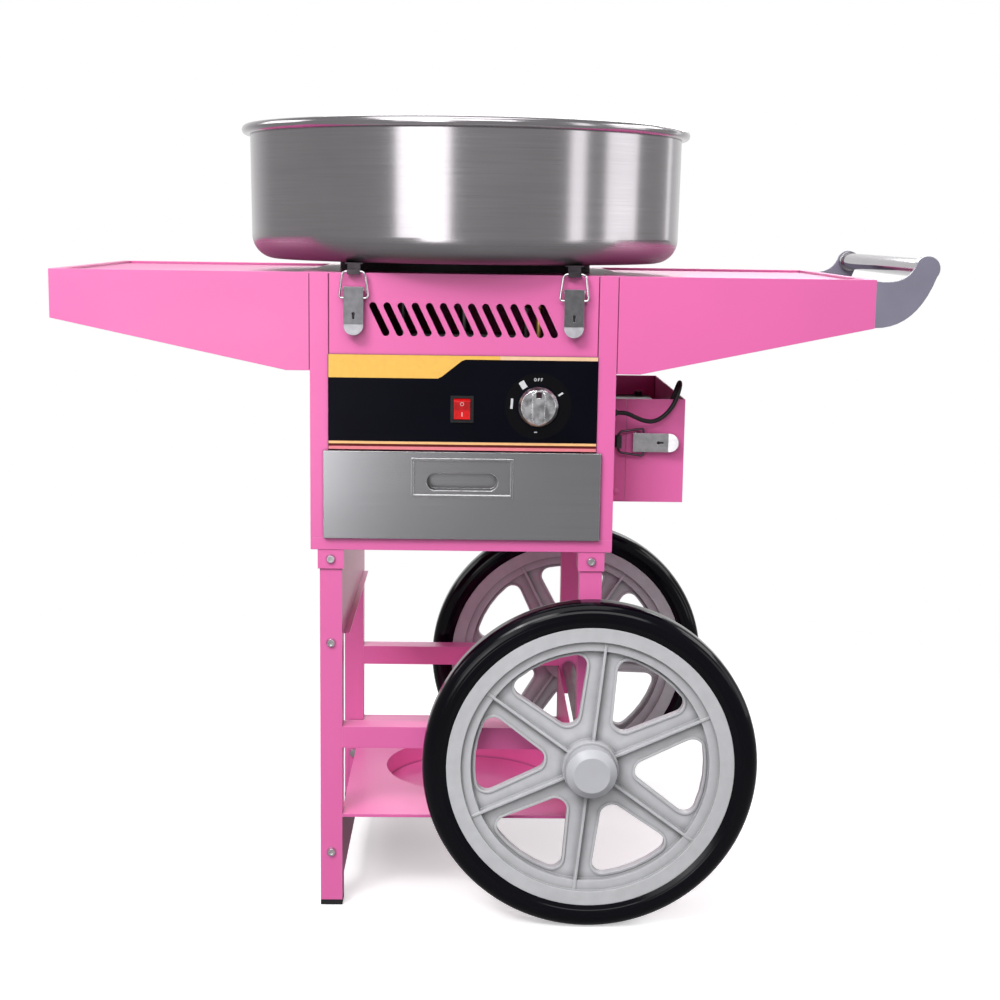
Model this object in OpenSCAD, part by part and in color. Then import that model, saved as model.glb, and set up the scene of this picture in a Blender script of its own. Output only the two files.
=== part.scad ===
// Cotton candy cart: a gas-fired floss machine on a barrow with two wheels, two legs and side trays.
// Millimetres, +Z up. The front faces -Y, the push handle is at the +X end and the floor is z = 0.

/* [Body] */
// Width of the machine body
body_width = 337; // [320:1:360]
// Depth of the machine body, front to back
body_depth = 400; // [380:1:430]
// Height of the machine body
body_height = 307; // [300:1:330]
// Height of the body's underside above the floor
body_floor = 420; // [410:1:460]
// Thickness of the folded sheet steel
sheet = 1.2; // [0.8:0.1:1.6]
// Width of the corner strips beside the front panel
strip_width = 20; // [16:1:22]
// Height of the base pan's turned-up lip
pan_lip = 13.5; // [10:0.5:16]
// Depth of the flanges turned back from a panel's edge
flange_depth = 14; // [10:1:18]
// Height of the drawer bay between the base pan and the front panel
drawer_bay = 100; // [94:1:104]

/* [Louvres] */
// Number of slanted louvre slots
louvre_count = 13; // [7:1:13]
// Distance from slot to slot
louvre_pitch = 15.4; // [13:0.1:15.6]
// Distance between the round ends of a slot
louvre_length = 32; // [26:1:36]
// Width of a slot
louvre_width = 8; // [5:0.5:9]
// Lean of the slots from upright, in degrees
louvre_lean = 26; // [10:1:32]
// Distance from the body's top down to the middle of the slots
louvre_drop = 50; // [46:1:54]

/* [Controls] */
// Height of the control fascia
fascia_height = 105; // [96:1:108]
// Thickness of the control fascia
fascia_thick = 1.5; // [1:0.1:2.5]
// Height of the gas knob above the fascia's lower edge
control_height = 50; // [42:1:56]
// Distance of the switch below the gas knob's centre line
switch_drop = 4; // [0:0.5:8]
// Sideways place of the switch
switch_x = -1; // [-30:1:10]
// Sideways place of the gas knob
knob_x = 83; // [60:1:100]
// Radius of the gas knob
knob_radius = 22; // [18:0.5:26]
// Depth of the gas knob's skirt
knob_skirt = 7; // [5:0.5:10]
// Height of the gas knob's grip bar above its skirt
knob_grip = 11; // [8:0.5:14]

/* [Drawer] */
// Width of the drawer front
drawer_width = 307; // [300:1:316]
// Height of the drawer front
drawer_height = 98; // [90:1:99]
// Depth of the drawer front's folded edge
drawer_edge = 5.6; // [4:0.2:8]
// Width of the runner at each side of the drawer box
runner_width = 27; // [22:1:36]
// Depth of the drawer box
drawer_box_depth = 320; // [260:1:360]
// Height of the drawer box
drawer_box_height = 78; // [60:1:80]
// Width of the pull's plate
pull_width = 113; // [100:1:130]
// Height of the pull's plate
pull_height = 44; // [38:1:50]
// Width of the pull's finger recess
pull_slot_width = 79; // [64:1:90]
// Height of the pull's finger recess
pull_slot_height = 19; // [16:1:24]
// Depth of the pull's finger recess
pull_slot_depth = 14; // [10:1:20]
// Distance of the finger recess below the middle of the pull's plate
pull_slot_drop = 4.5; // [0:0.5:6]

/* [Bowl] */
// Radius of the bowl's flat floor
bowl_floor_radius = 226; // [216:1:234]
// Radius of the bowl's rounded bottom corner
bowl_corner = 28; // [20:1:34]
// Outward lean of the bowl's wall from bottom to top
bowl_flare = 1.5; // [0:0.5:5]
// Height of the bowl
bowl_height = 154; // [134:1:174]
// Thickness of the bowl's sheet
bowl_wall = 1; // [0.8:0.1:1.4]
// Radius of the rolled bead round the bowl's rim
bead_radius = 5.7; // [4:0.1:7]
// Height of the black ring that the bowl sits on
seat_height = 11; // [10:0.5:14]
// Outer radius of the ring that the bowl sits on
seat_radius = 150; // [130:1:160]
// Radius of the hole in the bowl's floor
bowl_hole_radius = 60; // [56:1:66]

/* [Spinner] */
// Radius of the spinning head
spinner_radius = 68; // [62:1:80]
// Height of the head's slotted band
band_height = 18; // [12:1:24]
// Number of slots in the band
band_slots = 36; // [18:1:48]
// Height of the head's floor above the bowl's floor
spinner_lift = 20; // [18:1:28]
// Radius of the spindle
spindle_radius = 6; // [5:0.5:8]
// Radius of the motor
motor_radius = 42; // [34:1:50]
// Length of the motor
motor_length = 95; // [80:1:100]

/* [Trays] */
// Length of each side tray
tray_length = 283; // [240:1:320]
// Height of a tray where it meets the body
tray_root = 107; // [90:1:120]
// Height of a tray at its outer end
tray_end = 53; // [46:1:70]
// Length of the level stretch of a tray's underside
tray_level = 26; // [16:1:40]
// Depth of the shallow recess in a tray's top
tray_recess = 3; // [2:0.5:6]
// Width of the rim round a tray's recess
tray_rim = 10; // [6:1:16]

/* [Handle] */
// Distance from the tray's end to the handle tube
handle_reach = 55.5; // [46:0.5:80]
// Height of the handle tube above the tray's top
handle_rise = 13; // [6:0.5:24]
// Radius of the handle tube
handle_radius = 10.5; // [9:0.5:11]
// Radius of the rounded tip of a handle plate
handle_tip = 13.5; // [13:0.5:16]
// Thickness of a handle plate
handle_thick = 4; // [3:0.5:6]

/* [Legs and frame] */
// Side of the square leg tube
leg_side = 25; // [22:1:30]
// Wall of the leg tube
leg_wall = 1.5; // [1:0.1:2]
// Distance between the left and right legs' centre lines
leg_spread = 292; // [280:1:300]
// Setback of the legs behind the body's front and back faces
leg_setback = 3; // [2:0.5:6]
// Height of the sleeves that hold the legs under the body
sleeve_height = 22; // [18:1:30]
// Wall of the sleeves
sleeve_wall = 2.2; // [1.5:0.1:3]
// Height of the black foot caps
foot_height = 6; // [4:0.5:12]
// Height of the right legs' lower ends above the floor
right_leg_floor = 150; // [140:1:165]
// Height of the cross rails' lower faces above the floor
rail_floor = 189; // [186:1:240]
// Height of the side panel's lower edge above the floor
panel_floor = 317; // [290:1:330]
// Reach of the side panel's bolted tabs below its lower edge
panel_tab = 17; // [14:1:24]
// Height of the shelf's surface above the floor
shelf_height = 110; // [100:1:112]
// Height of the lower edge of the shelf's side apron above the floor
apron_floor = 30; // [20:1:50]
// Height of the apron's bolts above the floor
apron_bolt = 64; // [56:1:76]
// Height of the shelf's raised right end
shelf_upstand = 76; // [60:1:76]
// Radius of the round well that holds the gas bottle
well_radius = 104; // [84:1:110]
// Depth of the well
well_depth = 24; // [12:1:30]
// Sideways place of the well's centre
well_x = 12.5; // [0:0.5:18]
// Front-to-back place of the well's centre
well_y = -13; // [-30:1:0]

/* [Wheels] */
// Radius of the tyres
tyre_radius = 187; // [186:1:200]
// Radial height of a tyre
tyre_height = 27; // [22:1:32]
// Width of a tyre
tyre_width = 40; // [34:1:44]
// Gap between the legs and the tyres
wheel_gap = 24; // [18:1:44]
// Radius of the axle
axle_radius = 8; // [7:0.5:9]
// Number of spokes in a wheel
spoke_count = 6; // [5:1:7]
// Width of a wheel's rim
rim_width = 34; // [28:1:38]
// Width of the flat flange round a wheel's face
rim_flange = 16; // [12:1:20]
// Thickness of a wheel's spoked web
web_thick = 8; // [6:0.5:12]
// Thickness of the rib along a spoke
rib_thick = 3; // [2:0.5:5]
// Height of the rib above the web
rib_height = 9; // [4:0.5:12]
// Radius of the wheel's hub
hub_radius = 31; // [30:0.5:36]
// Length of the hub cap beyond the tyre
cap_length = 22; // [18:1:28]

/* [Side box] */
// Width of the side box, out from the body
box_width = 87.5; // [84:0.5:110]
// Depth of the side box, front to back
box_depth = 310; // [280:1:316]
// Height of the side box
box_height = 120; // [110:1:130]
// Height of the side box's underside above the body's underside
box_rise = 45; // [40:1:50]
// Distance from the body's front back to the side box's front
box_setback = 80; // [76:1:90]
// Width of the battery
battery_width = 65; // [55:1:70]
// Depth of the battery
battery_depth = 151; // [130:1:155]
// Height of the battery
battery_height = 94; // [80:1:100]

/* [Latches] */
// Width of a latch lever
lever_width = 21.5; // [20:0.5:24]
// Length of a latch lever below its pivot
lever_length = 49.5; // [46:0.5:56]
// Distance from the pivot down to the bail's pins
bail_drop = 9; // [8:0.5:9]
// Distance from the pivot up to the hooked end of the bail
bail_reach = 19.7; // [19:0.1:20]
// Radius of the bail's wire
bail_wire = 1.3; // [1:0.1:1.4]
// Distance of the pivot out from the surface
pivot_out = 8; // [7.5:0.5:9]
// Distance between the middle of the body and each bowl latch
latch_spread = 120; // [116:1:124]
// Distance from the body's top down to the bowl latches' pivots
latch_drop = 18; // [18:0.5:20]

/* [Hidden] */
$fn = 64;

// Colours
pink = [0.93, 0.36, 0.66];
steel = [0.72, 0.72, 0.74];
bright = [0.85, 0.85, 0.87];
silver_grey = [0.70, 0.70, 0.73];
handle_grey = [0.53, 0.52, 0.59];
black = [0.07, 0.07, 0.08];
red = [0.80, 0.06, 0.08];
brass = [0.78, 0.60, 0.25];
aluminium = [0.78, 0.79, 0.80];

// Clearances and overruns
cut = 2;
run_gap = 0.05;
side_gap = 0.3;
slip = 0.1;
tab_bolt_rise = 12;

// Main places worked out from the driving sizes
half_w = body_width / 2;
half_d = body_depth / 2;
top_z = body_floor + body_height;
lip_z = body_floor + pan_lip;
panel_z = lip_z + drawer_bay;
inner_w = half_w - strip_width;
tray_x = half_w + tray_length;
handle_x = tray_x + handle_reach;
handle_z = top_z + handle_rise;
cart_x = (tray_x - handle_x - handle_tip) / 2;
leg_x = leg_spread / 2;
leg_y = half_d - leg_setback - leg_side / 2;
leg_in_x = leg_x - leg_side / 2;
leg_in_y = leg_y - leg_side / 2;
leg_out_y = leg_y + leg_side / 2;
sleeve_z = body_floor - sleeve_height;
axle_z = tyre_radius;
rim_radius = tyre_radius - tyre_height;
fascia_y = -half_d - fascia_thick;
fascia_z = panel_z;
control_z = fascia_z + control_height;
switch_z = control_z - switch_drop;
bowl_z = top_z + seat_height;
spinner_z = bowl_z + spinner_lift;
wheel_y = leg_out_y + wheel_gap + tyre_width / 2;
panel_bolt = panel_floor - panel_tab + tab_bolt_rise;
drawer_half = half_w - sheet - runner_width - side_gap;

// Bolts: a domed head, a plain shank and a nut behind
bolt_shank = 3;
bolt_hole = 3.2;
bolt_head = 5.5;
bolt_head_height = 3;
bolt_socket = 2.6;
bolt_socket_depth = 1.6;
nut_side = 5.8;
nut_height = 4.8;
screw_head = 4;
screw_head_height = 2.2;
screw_shank = 1.8;
screw_reach = 6;
screw_hole = 2;
panel_flange = 6.5;

// Back panel
service_width = 240;
service_height = 210;
service_lift = 40;
back_overlap = 12;
back_screw_inset = 6;
inlet_hole = 5.3;

// Switch
bezel_width = 25.5;
bezel_height = 29.5;
bezel_thick = 2;
bezel_wall = 1.5;
bezel_body_width = 21.6;
bezel_body_height = 26.6;
bezel_depth = 16;
bezel_back = 2;
rocker_radius = 11.9;
rocker_face = 6.5;
rocker_dip = 4.5;
rocker_rear = 5;
rocker_tilt = 8;
rocker_pin = 1.5;
rocker_pivot_depth = 1.5;

// Gas parts
grip_width_share = 0.62;
grip_length_share = 1.72;
knob_face_share = 0.86;
notch_share = 0.5;
notch_width = 3.2;
notch_depth = 1.5;
valve_bore_share = 0.6;
stem_radius = 4;
stem_hole = 5;
stem_reach = 16;
valve_radius = 14;
valve_length = 40;
port_radius = 6;
port_length = 8;
pipe_radius = 4;
elbow_share = 1.4;
pipe_level = 110;
inlet_radius = 5;
inlet_collar = 9;
inlet_collar_length = 6;
inlet_tail = 22;
barb_count = 3;
barb_rise = 1.2;
burner_inner = 30;
burner_outer = 52;
burner_height = 12;
burner_stand = 9;
burner_leg = 4;
burner_leg_ring = 46;
burner_jets = 18;
jet_ring = 41;
jet_radius = 1.2;
jet_depth = 4;

// Drive
bracket_thick = 3;
bracket_width = 60;
bracket_half = 72;
bracket_foot = 20;
bracket_drop = 78;
boss_radius = 18;
boss_height = 5;
spindle_depth = 40;
housing_radius = 20;
housing_flange = 32;
housing_flange_thick = 4;
housing_length = 26;
spindle_way = 10;
head_floor = 4;
head_rim_height = 10;
head_rim = 3;
head_hub = 14;
head_hub_height = 17;
head_hub_drop = 6;
band_thick = 2;
band_slot_width = 1.6;
band_slot_edge = 3;
lid_rise = 12;
lid_wall = 1.5;
lid_mouth = 36;
lid_lip = 5;
spindle_nut = 9.5;
spindle_nut_height = 6;
spindle_tail = 3;

// Trim of the drawer, the pull and the runners
pull_plate = 1.5;
pull_border = 3;
pull_border_height = 1;
pull_lift = 65.5;
pull_wall = 1;
runner_height = 22;
runner_lap = 4.2;
runner_guide = 12;
runner_end = 10;
drawer_lift = 5;

// Latch pieces
lever_thick = 1.2;
lever_stand = 2.8;
lever_top = 3.2;
lever_skirt = 12;
barrel_radius = 3.2;
barrel_half = 7;
ear_thick = 1.2;
ear_inner = 7.4;
ear_radius = 2.5;
pivot_pin = 1.6;
base_half = 8.6;
base_length = 40;
keyhole_radius = 1.9;
keyhole_slot = 1.2;
keyhole_drop = 26;
keyhole_length = 6;
tab_length = 12;
tab_bend = 14;
bail_low_half = 15.8;
bail_high_half = 12;
bail_pin_inner = 9;
bail_bend = 2.6;
bail_top_bend = 5;
bail_steps = 6;
bail_sides = 12;
catch_half = 7;
catch_thick = 1.5;
catch_gap = 1.2;
catch_lip_rise = 3.6;
catch_foot_half = 9.75;
catch_foot_end = 180;
catch_foot_least = 20;
catch_web_out = 3;

// Side box pieces
strip_out = 20;
strip_leg = 20;
box_latch_out = 30.5;
box_latch_share = 0.59;
battery_gap = 7.8;
terminal_radius = 5;
terminal_height = 6;
terminal_inset = 14;

// Lead from the body to the battery in the side box
lead_radius = 2.5;
lead_sides = 8;
lead_steps = 3;
gland_setback = 50;
gland_rise = 152;
gland_y = gland_setback - half_d;
gland_z = body_floor + gland_rise;
gland_hole = 4.8;
gland_thread = 4.6;
gland_flange = 7;
gland_flange_thick = 2.5;
gland_reach = 6.5;
gland_tip = 3.4;
gland_inside = 6;
lead_route = [[175, -150, 572], [178, -150, 572], [181, -150, 572], [185.5, -149.8, 571.4], [190.5, -148.6, 569.6],
    [196, -146.6, 566.9], [202.5, -143.8, 564], [209.5, -140.6, 561.8], [217, -137.4, 561.3], [225, -134.4, 563.8],
    [233, -131.8, 569.6], [240, -129.6, 578], [244.5, -128, 587], [247, -127, 594.4], [248.7, -123.8, 600.2],
    [249.5, -118, 603.7], [249.5, -111, 603.7], [248.7, -105.2, 600.2], [247, -102, 594.2], [244.5, -100.4, 586.6],
    [241, -98.8, 577], [236.5, -95.6, 565], [231, -89, 553.4], [225, -79, 543.8], [219, -64, 536.6],
    [215, -45, 532.6], [212.8, -25, 531.2], [212, -5, 531], [212, 12.5, 531], [212, 30, 531]];

// Wheel shape, as shares of the rim's radius
window_inner_share = 0.395;
window_outer_share = 0.725;
window_corner_share = 0.075;
window_half_angle = 15.5;
window_root_angle = 0.8;
window_steps = 4;
window_lip = 2.5;
window_lip_rise = 1.5;
step_width = 11;
step_inset = 5;
hub_length = 40;
cap_radius = 28;
cap_wall = 3;
cap_bevel = 8;
cap_bevel_height = 7;
axle_end = 8;
tyre_shoulder_share = 0.52;
spacer_share = 1.5;
washer_share = 2;
axle_nut_share = 1.7;
spoke_turn = 24;
rear_spoke_turn = 3.5;
bead_out_share = 0.66;

// Handle plate outline, as shares of the handle's reach
handle_root_low = 52.5;
handle_root_high = 1.5;
handle_low_pull_share = 0.82;
handle_high_pull_share = 0.64;
handle_high_drop_share = 0.09;
handle_tip_from = -40;
handle_tip_turn = 190;
handle_flange = 24;
handle_flange_inset = 4;
handle_wall = 1.5;
collar_radius = 12.5;
collar_length = 14;

// Shapes that serve several pieces
module cart_frame() {
    translate([cart_x, 0, 0]) children();
}
module block(low, high) {
    translate(low) cube(high - low);
}
module both_sides() {
    children();
    mirror([1, 0, 0]) children();
}
module front_and_back() {
    children();
    mirror([0, 1, 0]) children();
}
module along_x(radius, length) {
    rotate([0, 90, 0]) cylinder(r = radius, h = length, center = true);
}
module along_y(radius, length) {
    rotate([-90, 0, 0]) cylinder(r = radius, h = length);
}
function arc(centre, radius, from, turn, steps) =
    [for (i = [0:steps]) centre + radius * [cos(from + turn * i / steps), sin(from + turn * i / steps)]];
function heading(a, b) = atan2(b[1] - a[1], b[0] - a[0]);
function turned(a) = (a + 720) % 360;
function rounded(corners, radius, steps) = let (n = len(corners)) [for (i = [0:n - 1])
    let (before = heading(corners[(i + n - 1) % n], corners[i]), after = heading(corners[i], corners[(i + 1) % n]))
    each arc(corners[i], radius, before - 90, turned(after - before), steps)];
function bend(a, b, c, steps) =
    [for (i = [0:steps]) let (t = i / steps) a * (1 - t) * (1 - t) + b * 2 * t * (1 - t) + c * t * t];
module stadium(width, height) {
    reach = (width - height) / 2;
    polygon(rounded([[-reach, 0], [reach, 0]], height / 2, $fn / 4));
}

// Bolt along +Y with its head's seat at the origin
module bolt(grip) {
    difference() {
        rotate([90, 0, 0]) cylinder(r1 = bolt_head, r2 = bolt_socket + bolt_shank / 2, h = bolt_head_height);
        translate([0, -bolt_head_height, 0]) rotate([90, 0, 0])
            translate([0, 0, -bolt_socket_depth]) cylinder(r = bolt_socket, h = bolt_socket_depth + cut, $fn = 6);
    }
    translate([0, -slip, 0]) along_y(bolt_shank, grip + nut_height + slip);
    translate([0, grip, 0]) rotate([-90, 0, 0]) cylinder(r = nut_side, h = nut_height, $fn = 6);
}
module bolt_way(z) {
    translate([0, -leg_side, z]) along_y(bolt_hole, leg_side * 2);
}

// Frame
module leg(bottom) {
    difference() {
        translate([-leg_side / 2, -leg_side / 2, bottom]) cube([leg_side, leg_side, body_floor - bottom]);
        translate([leg_wall - leg_side / 2, leg_wall - leg_side / 2, bottom - cut])
            cube([leg_side - 2 * leg_wall, leg_side - 2 * leg_wall, body_floor - bottom + 2 * cut]);
        bolt_way(body_floor - sleeve_height / 2);
        children();
    }
}
module left_legs() {
    color(pink) cart_frame() front_and_back() translate([-leg_x, -leg_y, 0]) leg(foot_height) {
        union() {
            bolt_way(panel_bolt);
            bolt_way(apron_bolt);
        }
    }
}
module right_legs() {
    color(pink) cart_frame() front_and_back() translate([leg_x, -leg_y, 0]) leg(right_leg_floor) {
        translate([0, -leg_side, axle_z]) along_y(axle_radius + slip, leg_side * 2);
    }
}
module leg_sleeves() {
    outer = leg_side + 2 * sleeve_wall;
    inner = leg_side + 2 * slip;
    color(pink) cart_frame() both_sides() front_and_back() translate([leg_x, -leg_y, body_floor - sleeve_height])
        difference() {
            translate([-outer / 2, -outer / 2, 0]) cube([outer, outer, sleeve_height]);
            translate([-inner / 2, -inner / 2, -cut]) cube([inner, inner, sleeve_height + 2 * cut]);
            translate([0, -outer, sleeve_height / 2]) along_y(bolt_hole, outer * 2);
        }
}
module cross_rails() {
    color(pink) cart_frame() front_and_back() difference() {
        block([-leg_in_x, -leg_out_y, rail_floor], [leg_in_x, -leg_in_y, rail_floor + leg_side]);
        block([-leg_in_x - cut, leg_wall - leg_out_y, rail_floor + leg_wall],
            [leg_in_x + cut, -leg_in_y - leg_wall, rail_floor + leg_side - leg_wall]);
    }
}
// Sheet between the two left legs, with end flanges bolted to the legs and an inward lower flange
module left_side_panel() {
    color(pink) cart_frame() difference() {
        union() {
            block([-leg_in_x - sheet, -leg_in_y, panel_floor], [-leg_in_x, leg_in_y, sleeve_z]);
            block([-leg_in_x - sheet, 2 * sleeve_wall - leg_in_y, panel_floor],
                [-leg_in_x, leg_in_y - 2 * sleeve_wall, body_floor]);
            block([-leg_in_x - sheet, -leg_in_y, panel_floor],
                [panel_flange - leg_in_x, leg_in_y, panel_floor + sheet]);
            front_and_back() block([-leg_x - leg_side / 4, -leg_in_y, panel_floor - panel_tab],
                [-leg_in_x, sheet - leg_in_y, sleeve_z]);
        }
        front_and_back() translate([-leg_x, -leg_in_y, 0]) bolt_way(panel_bolt);
    }
}
// Pressed shelf: a round bottle well, a deep bolted apron on the left and a raised end on the right
module shelf() {
    floor_z = shelf_height - sheet;
    color(pink) cart_frame() difference() {
        union() {
            block([-leg_in_x, -leg_out_y, floor_z], [leg_in_x, leg_out_y, shelf_height]);
            front_and_back() block([-leg_in_x, -leg_out_y, floor_z - 2 * sheet], [leg_in_x, sheet - leg_out_y, floor_z]);
            block([leg_in_x - sheet, -leg_out_y, floor_z], [leg_in_x, leg_out_y, shelf_height + shelf_upstand]);
            block([-leg_in_x - sheet, -leg_in_y, apron_floor], [-leg_in_x, leg_in_y, shelf_height]);
            front_and_back() block([-leg_x - leg_side / 4, -leg_in_y, apron_floor],
                [-leg_in_x, sheet - leg_in_y, shelf_height]);
            translate([well_x, well_y, floor_z - well_depth])
                cylinder(r = well_radius + sheet, h = well_depth + sheet, $fn = 96);
        }
        translate([well_x, well_y, shelf_height - well_depth]) cylinder(r = well_radius, h = well_depth + cut, $fn = 96);
        front_and_back() translate([-leg_x, -leg_in_y, 0]) bolt_way(apron_bolt);
    }
}
module foot_caps() {
    plug = leg_side - 2 * leg_wall - 2 * slip;
    color(black) cart_frame() front_and_back() translate([-leg_x, -leg_y, 0]) {
        translate([-leg_side / 2, -leg_side / 2, 0]) cube([leg_side, leg_side, foot_height]);
        translate([-plug / 2, -plug / 2, 0]) cube([plug, plug, foot_height + leg_side / 2]);
    }
}
module bolts_and_screws() {
    sleeve_y = leg_out_y + sleeve_wall;
    color(bright) cart_frame() {
        both_sides() front_and_back() translate([leg_x, -sleeve_y, body_floor - sleeve_height / 2])
            bolt(leg_side + 2 * sleeve_wall);
        front_and_back() for (z = [panel_bolt, apron_bolt])
            translate([-leg_x, -leg_out_y, z]) bolt(leg_side + sheet);
        for (x = [-1, 0, 1], z = [-1, 1]) translate(back_screw(x, z)) {
            along_y(screw_head, screw_head_height);
            translate([0, -screw_reach, 0]) along_y(screw_shank, screw_reach + slip);
        }
    }
}

// Axle and wheels
module axle() {
    length = 2 * wheel_y + hub_length + 2 * (nut_height + axle_end);
    color(steel) cart_frame() translate([leg_x, -length / 2, axle_z]) along_y(axle_radius, length);
}
module axle_fittings() {
    spacer = wheel_y - hub_length / 2 - side_gap - leg_out_y;
    nut_at = wheel_y + hub_length / 2 + side_gap;
    color(steel) cart_frame() front_and_back() translate([leg_x, 0, axle_z]) {
        difference() {
            translate([0, leg_out_y, 0]) along_y(axle_radius * spacer_share, spacer);
            translate([0, leg_out_y - cut, 0]) along_y(axle_radius + run_gap, spacer + 2 * cut);
        }
        difference() {
            union() {
                translate([0, nut_at, 0]) along_y(axle_radius * washer_share, sheet);
                translate([0, nut_at, 0]) rotate([-90, 0, 0]) cylinder(r = axle_radius * axle_nut_share, h = nut_height * 2, $fn = 6);
            }
            translate([0, nut_at - cut, 0]) along_y(axle_radius + run_gap, nut_height * 2 + 2 * cut);
        }
    }
}
// Half of the rim, web and hub in section, revolved about the axle
module wheel_section() {
    flange_in = rim_radius - rim_flange;
    step_in = flange_in - step_width;
    bore = axle_radius + run_gap;
    half = [[bore, hub_length / 2], [hub_radius, hub_length / 2], [hub_radius, web_thick / 2],
        [step_in, web_thick / 2], [step_in, rim_width / 2 - step_inset], [flange_in, rim_width / 2 - step_inset],
        [flange_in, rim_width / 2], [rim_radius, rim_width / 2]];
    count = len(half);
    polygon(concat(half, [for (i = [count - 1:-1:0]) [half[i][0], -half[i][1]]]));
}
module wheel_window(grow) {
    inner = rim_radius * window_inner_share;
    outer = rim_radius * window_outer_share;
    fan = arc([0, 0], outer, -window_half_angle, 2 * window_half_angle, window_steps);
    root = [for (a = [window_root_angle, -window_root_angle]) inner * [cos(a), sin(a)]];
    polygon(rounded(concat(fan, root), rim_radius * window_corner_share + grow, 6));
}
// Moulded wheel: six ribbed spokes, lipped windows and a stepped rim; the axis is along Z here
module spoked_wheel() {
    flange_in = rim_radius - rim_flange;
    lip = web_thick / 2 + window_lip_rise;
    rib = web_thick / 2 + rib_height;
    difference() {
        union() {
            rotate_extrude($fn = 128) wheel_section();
            for (i = [0:spoke_count - 1]) rotate(360 * i / spoke_count) {
                block([hub_radius - rib_thick, -rib_thick / 2, -rib], [flange_in + rib_thick, rib_thick / 2, rib]);
                rotate(180 / spoke_count) linear_extrude(lip * 2, center = true) wheel_window(window_lip);
            }
        }
        for (i = [0:spoke_count - 1]) rotate(360 * (i + 0.5) / spoke_count)
            linear_extrude(rim_width * 2, center = true) wheel_window(0);
    }
}
module tyre_ring() {
    shoulder = tyre_height * tyre_shoulder_share;
    half = tyre_width / 2;
    inner = rim_radius + run_gap;
    side = arc([tyre_radius - shoulder, half - shoulder], shoulder, 0, 90, 10);
    outline = concat(side, [[inner + shoulder / 2, half], [inner, rim_width / 2]]);
    rotate_extrude($fn = 128)
        polygon(concat(outline, [for (i = [len(outline) - 1:-1:0]) [outline[i][0], -outline[i][1]]]));
}
module cap_shell() {
    tip = cap_length - cap_bevel_height;
    rotate_extrude() polygon([[0, cap_length - cap_wall], [cap_radius - cap_wall - cap_bevel, cap_length - cap_wall],
        [cap_radius - cap_wall, tip - cap_wall / 2], [cap_radius - cap_wall, 0], [cap_radius, 0], [cap_radius, tip],
        [cap_radius - cap_bevel, cap_length], [0, cap_length]]);
}
module at_wheel(side) {
    cart_frame() translate([leg_x, side * wheel_y, axle_z]) rotate([-90 * side, 0, 0])
        rotate(side < 0 ? spoke_turn : rear_spoke_turn) children();
}
module front_wheel() {
    color(silver_grey) at_wheel(-1) spoked_wheel();
}
module front_tyre() {
    color(black) at_wheel(-1) tyre_ring();
}
module front_hub_cap() {
    color(silver_grey) at_wheel(-1) translate([0, 0, hub_length / 2]) cap_shell();
}
module rear_wheel() {
    color(silver_grey) at_wheel(1) spoked_wheel();
}
module rear_tyre() {
    color(black) at_wheel(1) tyre_ring();
}
module rear_hub_cap() {
    color(silver_grey) at_wheel(1) translate([0, 0, hub_length / 2]) cap_shell();
}

// Machine body
module base_pan() {
    color(pink) cart_frame() difference() {
        block([-half_w, -half_d, body_floor], [half_w, half_d, lip_z]);
        block([sheet - half_w, sheet - half_d, body_floor + sheet], [half_w - sheet, half_d - sheet, lip_z + cut]);
    }
}
module body_shell() {
    color(pink) cart_frame() difference() {
        union() {
            both_sides() {
                block([half_w - sheet, -half_d, lip_z], [half_w, half_d, top_z]);
                block([inner_w, -half_d, lip_z], [half_w, sheet - half_d, top_z]);
                block([inner_w, -half_d, lip_z], [inner_w + sheet, flange_depth - half_d, top_z - flange_depth]);
            }
            block([-half_w, half_d - sheet, lip_z], [half_w, half_d, top_z]);
        }
        block([-service_width / 2, half_d - sheet - cut, lip_z + service_lift],
            [service_width / 2, half_d + cut, lip_z + service_lift + service_height]);
        translate([half_w, gland_y, gland_z]) along_x(gland_hole, sheet * 4);
        for (x = [-1, 0, 1], z = [-1, 1]) translate(back_screw(x, z) - [0, screw_reach, 0])
            along_y(screw_hole, screw_reach);
    }
}
function back_screw(x, z) = [x * (service_width / 2 + back_screw_inset), half_d + sheet,
    lip_z + service_lift + service_height / 2 + z * (service_height / 2 + back_screw_inset)];
module louvres() {
    for (i = [0:louvre_count - 1])
        translate([(i - (louvre_count - 1) / 2) * louvre_pitch, -half_d, top_z - louvre_drop])
            rotate([90, 90 - louvre_lean, 0]) linear_extrude(sheet * 4, center = true)
                stadium(louvre_length + louvre_width, louvre_width);
}
module control_holes(depth) {
    translate([knob_x, -half_d - depth, control_z]) along_y(stem_hole, depth * 2);
    block([switch_x - bezel_body_width / 2 - side_gap, -half_d - depth, switch_z - bezel_body_height / 2 - side_gap],
        [switch_x + bezel_body_width / 2 + side_gap, depth - half_d, switch_z + bezel_body_height / 2 + side_gap]);
}
module front_panel() {
    back = flange_depth - half_d;
    edge = inner_w - side_gap;
    color(pink) cart_frame() difference() {
        union() {
            block([-edge, -half_d, panel_z], [edge, sheet - half_d, top_z]);
            block([-edge, -half_d, panel_z], [edge, back, panel_z + sheet]);
            both_sides() block([edge - sheet, -half_d, panel_z], [edge, back, top_z - flange_depth]);
        }
        louvres();
        control_holes(sheet * 4);
    }
}
module rear_panel() {
    color(pink) cart_frame() difference() {
        block([-service_width / 2 - back_overlap, half_d, lip_z + service_lift - back_overlap],
            [service_width / 2 + back_overlap, half_d + sheet, lip_z + service_lift + service_height + back_overlap]);
        translate([knob_x, half_d - cut, control_z]) along_y(inlet_hole, sheet + 2 * cut);
        for (x = [-1, 0, 1], z = [-1, 1]) translate(back_screw(x, z) - [0, screw_reach, 0])
            along_y(screw_hole, screw_reach + cut);
    }
}
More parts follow.
